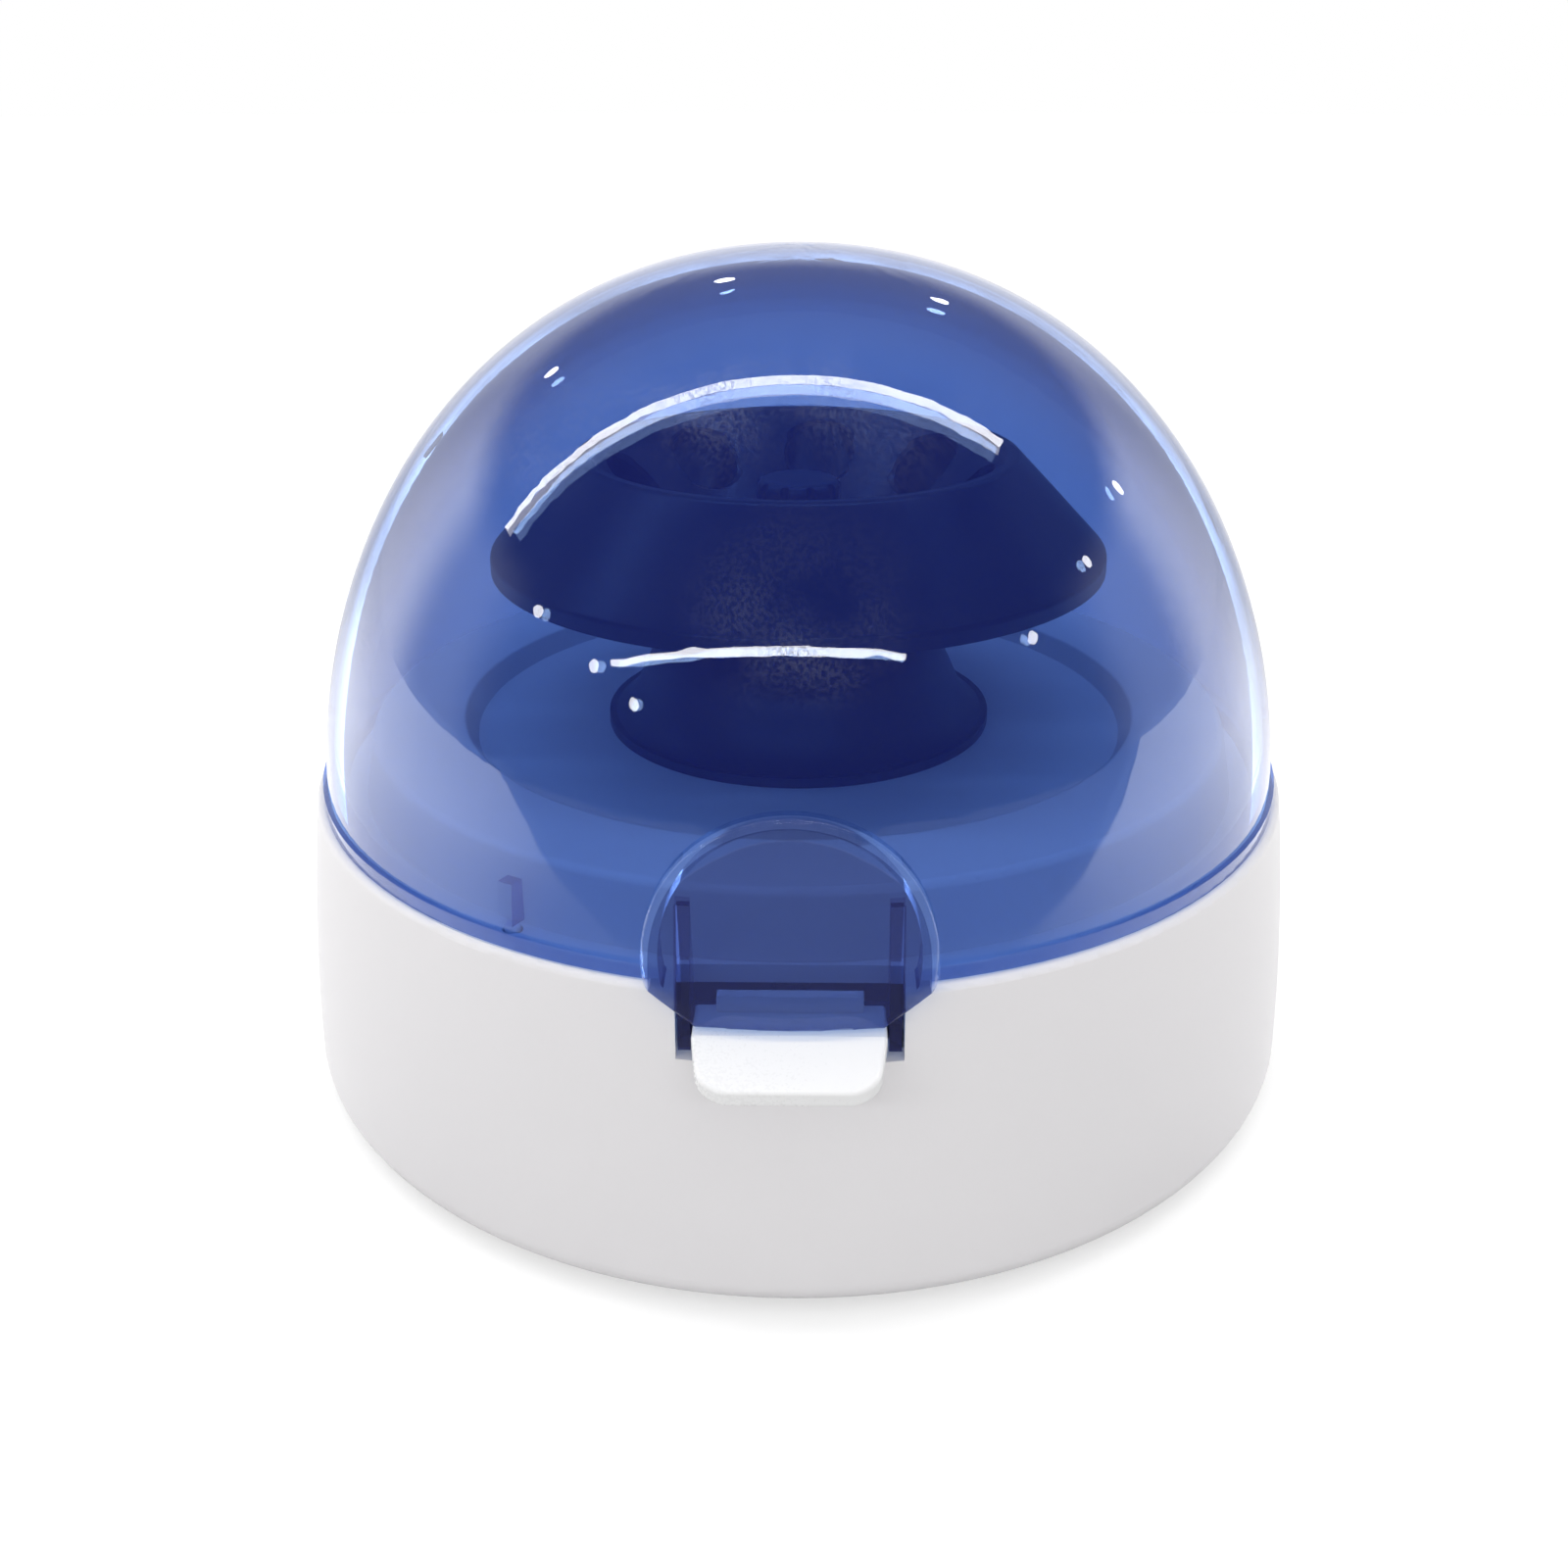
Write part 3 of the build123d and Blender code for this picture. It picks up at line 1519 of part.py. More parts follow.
makers = {
    "base_housing": make_base_housing,
    "bottom_cover": make_bottom_cover,
    "cover_screws": make_cover_screws,
    "rubber_feet": make_rubber_feet,
    "lid": make_lid,
    "hinge_pin": make_hinge_pin,
    "latch_lever": make_latch_lever,
    "latch_pin": make_latch_pin,
    "latch_spring": make_latch_spring,
    "rotor": make_rotor,
    "drive_adapter": make_drive_adapter,
    "rotor_nut": make_rotor_nut,
    "motor_shaft": make_motor_shaft,
    "motor_armature": make_motor_armature,
    "motor_can": make_motor_can,
    "motor_end_cap": make_motor_end_cap,
    "motor_bushes": make_motor_bushes,
    "motor_magnets": make_motor_magnets,
    "motor_terminals": make_motor_terminals,
    "motor_bracket": make_motor_bracket,
    "motor_screws": make_motor_screws,
    "bracket_dampers": make_bracket_dampers,
    "bracket_screws": make_bracket_screws,
    "motor_tower": make_motor_tower,
    "dc_jack": make_dc_jack,
    "jack_nut": make_jack_nut,
    "switch_body": make_switch_body,
    "switch_rocker": make_switch_rocker,
    "lid_switch_body": make_lid_switch_body,
    "lid_switch_plunger": make_lid_switch_plunger,
    "control_board": make_control_board,
    "board_parts": make_board_parts,
    "board_screws": make_board_screws,
}

os.makedirs("parts", exist_ok=True)
for name, make in makers.items():
    export_step(make(), f"parts/{name}.step")
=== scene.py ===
"""Dresses the mini centrifuge: a satin white base, a clear blue lid and a black rotor under it."""

import logging
import math
from dataclasses import dataclass
from enum import Enum

import bmesh
import bpy
from mathutils import Matrix, Vector

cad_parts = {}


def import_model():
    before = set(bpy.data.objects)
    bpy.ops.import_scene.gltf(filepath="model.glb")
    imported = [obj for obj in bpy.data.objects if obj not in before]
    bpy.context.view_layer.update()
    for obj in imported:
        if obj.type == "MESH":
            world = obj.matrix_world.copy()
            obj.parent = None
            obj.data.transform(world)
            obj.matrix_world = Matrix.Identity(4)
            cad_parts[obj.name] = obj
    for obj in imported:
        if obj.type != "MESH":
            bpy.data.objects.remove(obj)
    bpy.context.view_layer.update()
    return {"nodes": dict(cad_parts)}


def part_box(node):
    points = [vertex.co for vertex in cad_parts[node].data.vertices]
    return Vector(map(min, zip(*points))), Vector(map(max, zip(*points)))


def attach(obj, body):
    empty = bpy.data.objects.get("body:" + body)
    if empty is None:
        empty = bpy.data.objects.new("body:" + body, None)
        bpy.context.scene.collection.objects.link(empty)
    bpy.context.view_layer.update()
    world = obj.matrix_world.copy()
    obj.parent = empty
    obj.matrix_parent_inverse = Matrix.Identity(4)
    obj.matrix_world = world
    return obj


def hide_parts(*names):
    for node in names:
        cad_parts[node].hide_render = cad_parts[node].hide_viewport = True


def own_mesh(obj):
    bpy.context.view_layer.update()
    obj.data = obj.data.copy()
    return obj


Color = tuple[float, float, float]
Place = tuple[float, float, float]
Step = tuple[float, float]
Settings = dict[str, object]

LOG = logging.getLogger("centrifuge")
MM = 0.001
IMAGE_SIDE = 1600.0
PLASTIC_INDEX = 1.5
BLACK: Color = (0.0, 0.0, 0.0)
WHITE: Color = (1.0, 1.0, 1.0)
UNSTRETCHED: Place = (1.0, 1.0, 1.0)

# A Mix node has its sockets for colours at these numbers.
MIX_LOW = 6
MIX_HIGH = 7
MIX_RESULT = 2


class Shade(Enum):
    """The colours of the object's finishes, as linear red, green and blue."""

    BASE_WHITE = (0.80, 0.785, 0.80)
    LATCH_WHITE = (0.83, 0.83, 0.835)
    LID_BLUE = (0.275, 0.41, 0.69)
    LID_VEIL = (0.02, 0.06, 0.90)
    ROTOR_BLACK = (0.014, 0.015, 0.024)
    TOWER_BLACK = (0.026, 0.029, 0.048)
    MARK_WHITE = (0.75, 0.75, 0.74)
    SWITCH_BLACK = (0.018, 0.018, 0.019)
    RUBBER_GREY = (0.030, 0.030, 0.031)
    STEEL = (0.60, 0.60, 0.61)
    ZINC = (0.48, 0.49, 0.50)
    ALUMINIUM = (0.77, 0.78, 0.79)
    BRONZE = (0.58, 0.38, 0.17)
    TINNED_BRASS = (0.78, 0.70, 0.48)
    CORE_LACQUER = (0.16, 0.09, 0.06)
    FERRITE = (0.055, 0.056, 0.060)
    MASK_GREEN = (0.012, 0.085, 0.035)
    SLEEVE_BLACK = (0.020, 0.022, 0.030)


class Ray(Enum):
    """The kinds of ray that the stage and the lid answer in their own way."""

    CAMERA = "Is Camera Ray"
    GLOSSY = "Is Glossy Ray"
    TRANSMISSION = "Is Transmission Ray"
    SHADOW = "Is Shadow Ray"
    DIFFUSE = "Is Diffuse Ray"
    REFLECTION = "Is Reflection Ray"
    PASSED = "Transmission Depth"


class Value:
    """A shader socket that takes part in arithmetic, where each operation adds a Math node."""

    def __init__(self, recipe: "Recipe", socket: bpy.types.NodeSocket) -> None:
        """Keep the socket and the recipe that it belongs to."""
        self.recipe = recipe
        self.socket = socket

    def _math(self, operation: str, first: object, second: object) -> "Value":
        """Add one Math node and return its result."""
        made = self.recipe.node("ShaderNodeMath", {"operation": operation}, {0: first, 1: second})
        return Value(self.recipe, made.outputs[0])

    def __add__(self, other: object) -> "Value":
        """Add a number or another value."""
        return self._math("ADD", self, other)

    def __radd__(self, other: object) -> "Value":
        """Add this value to a number."""
        return self._math("ADD", other, self)

    def __sub__(self, other: object) -> "Value":
        """Take a number or another value away."""
        return self._math("SUBTRACT", self, other)

    def __rsub__(self, other: object) -> "Value":
        """Take this value away from a number."""
        return self._math("SUBTRACT", other, self)

    def __mul__(self, other: object) -> "Value":
        """Multiply by a number or another value."""
        return self._math("MULTIPLY", self, other)

    def __rmul__(self, other: object) -> "Value":
        """Multiply a number by this value."""
        return self._math("MULTIPLY", other, self)

    def __truediv__(self, other: object) -> "Value":
        """Divide by a number or another value."""
        return self._math("DIVIDE", self, other)

    def __rtruediv__(self, other: object) -> "Value":
        """Divide a number by this value."""
        return self._math("DIVIDE", other, self)

    def __pow__(self, other: object) -> "Value":
        """Raise to a power."""
        return self._math("POWER", self, other)

    def size(self) -> "Value":
        """Return the value without its sign."""
        return self._math("ABSOLUTE", self, 0.0)

    def larger(self, other: object) -> "Value":
        """Return the larger of this value and another."""
        return self._math("MAXIMUM", self, other)

    def between(self, low: float, high: float) -> "Value":
        """Return a smooth step from 0 at the low value to 1 at the high one.

        Args:
            low: The value at which the step starts.
            high: The value at which the step ends.

        Returns:
            The step as a value from 0 to 1.
        """
        settings = {"interpolation_type": "SMOOTHSTEP"}
        made = self.recipe.node("ShaderNodeMapRange", settings, {0: self, 1: low, 2: high})
        return Value(self.recipe, made.outputs[0])


def span(first: Value, second: Value) -> Value:
    """Return the length whose two parts, at right angles, are these values."""
    return (first * first + second * second) ** 0.5


class Recipe:
    """A material or world under construction, with the few kinds of node that it is made of."""

    def __init__(self, owner: bpy.types.Material | bpy.types.World) -> None:
        """Empty the owner's node tree.

        Args:
            owner: The material or world to fill.
        """
        owner.use_nodes = True
        self.owner = owner
        self.tree = owner.node_tree
        self.tree.nodes.clear()

    @classmethod
    def material(cls, name: str) -> "Recipe":
        """Start a new material of that name."""
        return cls(bpy.data.materials.new(name))

    def node(self, kind: str, settings: Settings, sockets: dict[int | str, object]) -> bpy.types.Node:
        """Add a node, set it up and fill its inputs.

        Args:
            kind: The node's type.
            settings: Its own settings by name.
            sockets: Numbers, colours or links by input name or number.

        Returns:
            The new node.
        """
        made = self.tree.nodes.new(kind)
        for key, setting in settings.items():
            setattr(made, key, setting)
        for key, given in sockets.items():
            self._fill(made.inputs[key], given)
        return made

    def _fill(self, socket: bpy.types.NodeSocket, given: object) -> None:
        """Link something to an input, or set the input to a number or colour.

        Args:
            socket: The input to fill.
            given: A value, an output socket, a number or a colour.
        """
        if isinstance(given, Value):
            self.tree.links.new(given.socket, socket)
        elif isinstance(given, bpy.types.NodeSocket):
            self.tree.links.new(given, socket)
        elif isinstance(given, tuple) and len(given) == 3 and socket.type == "RGBA":
            socket.default_value = (*given, 1.0)
        else:
            socket.default_value = given

    def place(self, stretch: Place = UNSTRETCHED) -> bpy.types.NodeSocket:
        """Return object coordinates in metres.

        Args:
            stretch: How they are multiplied along each axis.

        Returns:
            The socket that gives them.
        """
        spot = self.node("ShaderNodeTexCoord", {}, {}).outputs["Object"]
        if stretch == UNSTRETCHED:
            return spot
        return self.node("ShaderNodeMapping", {}, {"Vector": spot, "Scale": stretch}).outputs[0]

    def _part(self, spot: bpy.types.NodeSocket, name: str) -> Value:
        """Return one part, X, Y or Z, of what a socket gives."""
        return Value(self, self.node("ShaderNodeSeparateXYZ", {}, {0: spot}).outputs[name])

    def axis(self, name: str) -> Value:
        """Return one object coordinate in metres, by the name X, Y or Z."""
        return self._part(self.place(), name)

    def heading(self, name: str) -> Value:
        """Return one part, X, Y or Z, of the way in which the world is looked at."""
        return self._part(self.node("ShaderNodeTexCoord", {}, {}).outputs["Generated"], name)

    def distance(self, place: Place) -> Value:
        """Return how far it is to a place, in metres."""
        made = self.node("ShaderNodeVectorMath", {"operation": "DISTANCE"}, {0: self.place(), 1: place})
        return Value(self, made.outputs["Value"])

    def noise(self, size: float, detail: float = 2.0, stretch: Place = UNSTRETCHED) -> Value:
        """Return soft noise from 0 to 1, by its patches in millimetres, finer layers and stretch."""
        sockets = {"Vector": self.place(stretch), "Scale": 1.0 / (size * MM), "Detail": detail}
        return Value(self, self.node("ShaderNodeTexNoise", {}, sockets).outputs[0])

    def cells(self, size: float) -> Value:
        """Return the distance to scattered points, for flecks of a size in millimetres."""
        sockets = {"Vector": self.place(), "Scale": 1.0 / (size * MM)}
        return Value(self, self.node("ShaderNodeTexVoronoi", {}, sockets).outputs[0])

    def tint(self, low: object, high: object, share: Value) -> bpy.types.NodeSocket:
        """Return a colour between two, each a colour or the socket that gives it, by a share."""
        made = self.node("ShaderNodeMix", {"data_type": "RGBA"}, {0: share, MIX_LOW: low, MIX_HIGH: high})
        return made.outputs[MIX_RESULT]

    def relief(self, height: Value, depth: float) -> bpy.types.NodeSocket:
        """Return a normal bent by a height pattern whose full depth is in millimetres."""
        sockets = {"Height": height, "Distance": depth * MM, "Strength": 1.0}
        return self.node("ShaderNodeBump", {}, sockets).outputs[0]

    def ray(self, kind: Ray) -> Value:
        """Return whether the ray is of that kind, or how many clear skins it has passed."""
        return Value(self, self.node("ShaderNodeLightPath", {}, {}).outputs[kind.value])

    def surface(self, sockets: Settings) -> bpy.types.Node:
        """Add the main shader with its inputs by name."""
        return self.node("ShaderNodeBsdfPrincipled", {}, sockets)

    def either(self, share: object, first: bpy.types.Node, second: bpy.types.Node) -> bpy.types.Node:
        """Mix two shaders, with the share of the second from 0 to 1."""
        sockets = {0: share, 1: first.outputs[0], 2: second.outputs[0]}
        return self.node("ShaderNodeMixShader", {}, sockets)

    def finish(self, shader: bpy.types.Node) -> bpy.types.Material | bpy.types.World:
        """Lead a shader to the output.

        Args:
            shader: The last shader node.

        Returns:
            The finished material or world.
        """
        is_world = isinstance(self.owner, bpy.types.World)
        kind = "ShaderNodeOutputWorld" if is_world else "ShaderNodeOutputMaterial"
        self.node(kind, {}, {"Surface": shader.outputs[0]})
        return self.owner


def shifted(color: Color, share: float) -> Color:
    """Return a colour made lighter by a share, or darker by a negative one."""
    return tuple(min(1.0, channel * (1.0 + share)) for channel in color)


@dataclass(frozen=True)
class MouldedPlastic:
    """An opaque moulded plastic: a fine grain, slow changes of tone and handled patches."""

    name: str
    shade: Shade
    roughness: float
    grain: float = 0.35
    grain_detail: float = 1.0
    grain_depth: float = 0.006
    grain_gloss: float = 0.04
    fleck_spread: float = 5.0
    fleck_reach: Step = (0.0, 0.25)
    fleck_share: float = 0.2
    tone: float = 0.012
    patch: float = 0.06
    flow: float = 30.0
    flow_detail: float = 3.0
    specular: float = 0.5

    def make(self) -> bpy.types.Material:
        """Build the material.

        Returns:
            The finished material.
        """
        recipe = Recipe.material(self.name)
        flow = recipe.noise(self.flow, self.flow_detail)
        grain = recipe.noise(self.grain, self.grain_detail)
        fleck = recipe.cells(self.grain * self.fleck_spread).between(*self.fleck_reach)
        mottle = flow * (1.0 - self.fleck_share) + fleck * self.fleck_share
        dulled = flow * self.patch + (self.roughness - self.patch / 2)
        color = self.shade.value
        return recipe.finish(recipe.surface({
            "Base Color": recipe.tint(shifted(color, -self.tone), shifted(color, self.tone), mottle),
            "Roughness": dulled + (grain - 0.5) * self.grain_gloss,
            "IOR": PLASTIC_INDEX,
            "Specular IOR Level": self.specular,
            "Normal": recipe.relief(grain, self.grain_depth),
        }))


@dataclass(frozen=True)
class ClearPlastic:
    """The lid's clear tinted plastic: polished skins, handled patches, deeper tint where it is thick,
    painted shade over the boss and a painted glint round the boss's rim.
    """

    name: str
    shade: Shade
    tone: float = 0.02
    flow: float = 40.0
    index: float = 1.02
    gloss: float = 0.012
    blur: float = 0.012
    haze_gloss: float = 0.33
    haze_blur: float = 0.05
    blur_patch: float = 18.0
    blur_detail: float = 3.0
    wave: float = 22.0
    wave_detail: float = 0.0
    wave_depth: float = 0.0002
    veil: float = 0.052
    edge: float = 0.1 * MM
    deep_shade: Color = (0.12, 0.20, 0.42)
    slant: Step = (0.35, 0.80)
    boss_radius: float = 16.0 * MM
    boss_rim: float = 17.2 * MM
    boss_height: float = 47.5 * MM
    boss_front: float = -69.0 * MM
    # Painted shade: darkens the boss as if the shadowed recess behind it showed through.
    painted_boss_shade: Color = (0.17, 0.215, 0.37)
    # Painted highlight: a lighter ring round the boss stands in for light bent inside the plastic.
    painted_rim_glint: Color = (0.80, 0.85, 0.96)
    rib_middle: float = 12.15 * MM
    rib_half: float = 0.85 * MM
    rib_back: float = -66.0 * MM
    rib_top: float = 54.5 * MM
    rib_shade: Color = (0.09, 0.10, 0.22)
    smudge: float = 0.55
    least_smudge: float = 0.015
    stray_smudge: float = 0.40
    stray_patch: float = 60.0
    touch_places: tuple[Place, ...] = (
        (-28.0 * MM, -34.0 * MM, 103.0 * MM), (-10.0 * MM, -41.0 * MM, 104.0 * MM),
        (10.0 * MM, -42.0 * MM, 104.0 * MM), (1.0 * MM, -58.0 * MM, 86.0 * MM),
    )
    touch_reach: Step = (5.0 * MM, 18.0 * MM)
    touch_patch: float = 14.0
    touch_detail: float = 4.0
    touch_share: Step = (0.34, 0.62)
    ridge: float = 0.45
    ridge_detail: float = 1.0
    ridge_stretch: Place = (1.0, 0.4, 1.0)
    ridge_share: Step = (0.44, 0.58)
    ridge_depth: float = 0.85

    def _past(self, reading: Value, limit: float) -> Value:
        """Return whether a reading is past a limit, as a narrow step from 0 to 1."""
        return reading.between(limit, limit + self.edge)

    def _boss(self, recipe: Recipe, radius: float) -> Value:
        """Return where the round boss lies.

        Args:
            recipe: The recipe to build in.
            radius: How far out from the boss's middle.

        Returns:
            1 in the boss and 0 outside it.
        """
        above = (recipe.axis("Z") - self.boss_height).larger(0.0)
        beside = self._past(span(recipe.axis("X"), above), radius)
        return (1.0 - beside) * (1.0 - self._past(recipe.axis("Y"), self.boss_front))

    def _ribs(self, recipe: Recipe) -> Value:
        """Return where the two thick ribs behind the boss lie.

        Args:
            recipe: The recipe to build in.

        Returns:
            1 in the ribs and 0 outside them.
        """
        beside = self._past((recipe.axis("X").size() - self.rib_middle).size(), self.rib_half)
        behind = self._past(recipe.axis("Y"), self.rib_back)
        above = self._past(recipe.axis("Z"), self.rib_top)
        return (1.0 - beside) * (1.0 - behind) * (1.0 - above)

    def _smudges(self, recipe: Recipe) -> Value:
        """Return how much the skin has been touched, most of all where fingers press the dome.

        Args:
            recipe: The recipe to build in.

        Returns:
            The share of the smudged skin.
        """
        near = recipe.noise(self.stray_patch) * self.stray_smudge
        for place in self.touch_places:
            near = near.larger(1.0 - recipe.distance(place).between(*self.touch_reach))
        patch = recipe.noise(self.touch_patch, self.touch_detail).between(*self.touch_share)
        ridge = recipe.noise(self.ridge, self.ridge_detail, self.ridge_stretch).between(*self.ridge_share)
        ridged = ridge * self.ridge_depth + (1.0 - self.ridge_depth)
        return near * patch * ridged * self.smudge + self.least_smudge

    def _tint(self, recipe: Recipe) -> bpy.types.NodeSocket:
        """Return the tint, which is deeper where the plastic is thick or seen at a slant, with painted shade
        over the boss and a painted glint in a ring round its rim.

        Args:
            recipe: The recipe to build in.

        Returns:
            The socket that gives the colour.
        """
        color = self.shade.value
        tint = recipe.tint(shifted(color, -self.tone), shifted(color, self.tone), recipe.noise(self.flow))
        facing = Value(recipe, recipe.node("ShaderNodeLayerWeight", {}, {}).outputs["Facing"])
        tint = recipe.tint(tint, self.deep_shade, facing.between(*self.slant))
        # Painted glint: a lighter ring round the boss's rim.
        tint = recipe.tint(tint, self.painted_rim_glint, self._boss(recipe, self.boss_rim))
        # Painted shade over the boss.
        tint = recipe.tint(tint, self.painted_boss_shade, self._boss(recipe, self.boss_radius))
        return recipe.tint(tint, self.rib_shade, self._ribs(recipe))

    def _skin(
        self, recipe: Recipe, tint: bpy.types.NodeSocket, gloss: float, blur: float
    ) -> bpy.types.Node:
        """Return the clear shader with a polished or a smudged skin.

        Args:
            recipe: The recipe to build in.
            tint: The socket that gives the tint.
            gloss: The skin's roughness.
            blur: How much the skin blurs what is behind it.

        Returns:
            The shader node.
        """
        return recipe.surface({
            "Base Color": tint,
            "Roughness": recipe.noise(self.blur_patch, self.blur_detail) * blur,
            "IOR": self.index,
            "Transmission Weight": 1.0,
            "Coat Weight": 1.0,
            "Coat Roughness": gloss,
            "Coat IOR": PLASTIC_INDEX,
            "Normal": recipe.relief(recipe.noise(self.wave, self.wave_detail), self.wave_depth),
        })

    def make(self) -> bpy.types.Material:
        """Build the material, which lets soft light through to what it covers.

        Returns:
            The finished material.
        """
        recipe = Recipe.material(self.name)
        tint = self._tint(recipe)
        clean = self._skin(recipe, tint, self.gloss, self.blur)
        hazy = self._skin(recipe, tint, self.haze_gloss, self.haze_blur)
        skin = recipe.either(self._smudges(recipe), clean, hazy)
        veil = recipe.node("ShaderNodeBsdfDiffuse", {}, {"Color": Shade.LID_VEIL.value})
        glass = recipe.either(self.veil, skin, veil)
        through = tuple(math.sqrt(channel) for channel in self.shade.value)
        clear = recipe.node("ShaderNodeBsdfTransparent", {}, {"Color": through})
        soft = recipe.ray(Ray.SHADOW).larger(recipe.ray(Ray.DIFFUSE)).larger(recipe.ray(Ray.REFLECTION))
        return recipe.finish(recipe.either(soft, glass, clear))


@dataclass(frozen=True)
class WorkedMetal:
    """A metal with a fine grain along one direction, and slightly uneven polish."""

    name: str
    shade: Shade
    roughness: float
    along: Place = UNSTRETCHED
    line: float = 0.25
    line_depth: float = 0.004
    line_gloss: float = 0.08
    line_share: float = 0.5
    cloud: float = 6.0
    cloud_detail: float = 3.0
    cloud_gloss: float = 0.10
    gloss_shift: float = 0.05
    dark_tone: float = -0.08
    light_tone: float = 0.05

    def make(self) -> bpy.types.Material:
        """Build the material.

        Returns:
            The finished material.
        """
        recipe = Recipe.material(self.name)
        lines = recipe.noise(self.line, stretch=self.along)
        cloud = recipe.noise(self.cloud, self.cloud_detail)
        dulled = lines * self.line_gloss + cloud * self.cloud_gloss
        dark = shifted(self.shade.value, self.dark_tone)
        light = shifted(self.shade.value, self.light_tone)
        mottle = lines * self.line_share + cloud * (1.0 - self.line_share)
        return recipe.finish(recipe.surface({
            "Base Color": recipe.tint(dark, light, mottle),
            "Metallic": 1.0,
            "Roughness": dulled + (self.roughness - self.gloss_shift),
            "Normal": recipe.relief(lines, self.line_depth),
        }))


@dataclass(frozen=True)
class SoftRubber:
    """A soft dark rubber with a dusty bloom and a fine moulded texture."""

    name: str
    shade: Shade
    roughness: float = 0.68
    bloom: float = 0.5
    dust: float = 3.0
    dust_detail: float = 4.0
    dust_share: Step = (0.45, 0.8)
    dust_gloss: float = 0.12
    grain: float = 0.3
    grain_depth: float = 0.012

    def make(self) -> bpy.types.Material:
        """Build the material.

        Returns:
            The finished material.
        """
        recipe = Recipe.material(self.name)
        dust = recipe.noise(self.dust, self.dust_detail).between(*self.dust_share)
        color = self.shade.value
        return recipe.finish(recipe.surface({
            "Base Color": recipe.tint(color, shifted(color, self.bloom), dust),
            "Roughness": dust * self.dust_gloss + self.roughness,
            "Normal": recipe.relief(recipe.noise(self.grain), self.grain_depth),
        }))


@dataclass(frozen=True)
class SolderMask:
    """The control board's face: a green mask over faint copper tracks."""

    name: str
    shade: Shade
    roughness: float = 0.30
    pattern: float = 24.0
    track_width: float = 0.012
    track_depth: float = 0.03
    track_tone: float = 0.9
    cloud: float = 1.5
    cloud_gloss: float = 0.08

    def make(self) -> bpy.types.Material:
        """Build the material.

        Returns:
            The finished material.
        """
        recipe = Recipe.material(self.name)
        bricks = recipe.node("ShaderNodeTexBrick", {}, {
            "Vector": recipe.place(),
            "Scale": 1.0 / (self.pattern * MM),
            "Mortar Size": self.track_width,
            "Color1": BLACK,
            "Color2": BLACK,
            "Mortar": WHITE,
        })
        tracks = Value(recipe, bricks.outputs[0])
        color = self.shade.value
        return recipe.finish(recipe.surface({
            "Base Color": recipe.tint(color, shifted(color, self.track_tone), tracks),
            "Roughness": recipe.noise(self.cloud) * self.cloud_gloss + self.roughness,
            "Normal": recipe.relief(tracks, self.track_depth),
        }))


@dataclass(frozen=True)
class SleevedParts:
    """The board's parts: dark sleeves with pale metal tops up to a height over the board."""

    name: str
    shade: Shade
    top: float
    roughness: float = 0.32
    cap: float = 0.1 * MM
    grain: float = 0.4
    grain_depth: float = 0.004
    grain_gloss: float = 0.1

    def make(self) -> bpy.types.Material:
        """Build the material.

        Returns:
            The finished material.
        """
        recipe = Recipe.material(self.name)
        cap = recipe.axis("Z").between(self.top - self.cap, self.top)
        grain = recipe.noise(self.grain)
        return recipe.finish(recipe.surface({
            "Base Color": recipe.tint(self.shade.value, Shade.ALUMINIUM.value, cap),
            "Metallic": cap,
            "Roughness": grain * self.grain_gloss + self.roughness,
            "Normal": recipe.relief(grain, self.grain_depth),
        }))


Finish = MouldedPlastic | ClearPlastic | WorkedMetal | SoftRubber | SolderMask | SleevedParts


def dress(nodes: dict[str, bpy.types.Object], names: list[str], finish: Finish) -> None:
    """Give CAD nodes a finish.

    Args:
        nodes: The frame's nodes by name.
        names: The nodes to dress.
        finish: The finish that they share.
    """
    material = finish.make()
    for name in names:
        mesh = nodes[name].data
        mesh.materials.clear()
        mesh.materials.append(material)
        LOG.info("dressed %s with %s", name, material.name)


def new_piece(name: str, shape: bmesh.types.BMesh, material: bpy.types.Material) -> bpy.types.Object:
    """Turn a finished bmesh into an object of the scene.

    Args:
        name: The piece's name.
        shape: The mesh, which is freed.
        material: The piece's material.

    Returns:
        The new object, at the origin.
    """
    bmesh.ops.recalc_face_normals(shape, faces=shape.faces)
    mesh = bpy.data.meshes.new(name)
    shape.to_mesh(mesh)
    shape.free()
    mesh.materials.append(material)
    piece = bpy.data.objects.new(name, mesh)
    bpy.context.scene.collection.objects.link(piece)
    LOG.info("built %s with %d faces", name, len(mesh.polygons))
    return piece


@dataclass
class BaseShell:
    """The moulded base with its bottom cover, screws and feet."""

    nodes: dict[str, bpy.types.Object]

    def dress(self) -> None:
        """Give the base's pieces their finishes."""
        shell = MouldedPlastic("satin_white_base", Shade.BASE_WHITE, roughness=0.5, specular=0.25)
        dress(self.nodes, ["base_housing", "bottom_cover"], shell)
        screws = WorkedMetal("zinc_screws", Shade.ZINC, roughness=0.32)
        dress(self.nodes, ["cover_screws", "bracket_screws", "motor_screws", "board_screws"], screws)
        dress(self.nodes, ["rubber_feet"], SoftRubber("foot_rubber", Shade.RUBBER_GREY))


@dataclass
class ClearLid:
    """The blue dome with its boss, and its hinge pin."""

    nodes: dict[str, bpy.types.Object]

    def dress(self) -> None:
        """Give the lid, its pin and the other bright pins their finishes."""
        dress(self.nodes, ["lid"], ClearPlastic("clear_blue_lid", Shade.LID_BLUE))
        pin = WorkedMetal("bright_pin", Shade.STEEL, roughness=0.2, along=(0.1, 1.0, 1.0))
        dress(self.nodes, ["hinge_pin", "latch_pin", "motor_shaft"], pin)


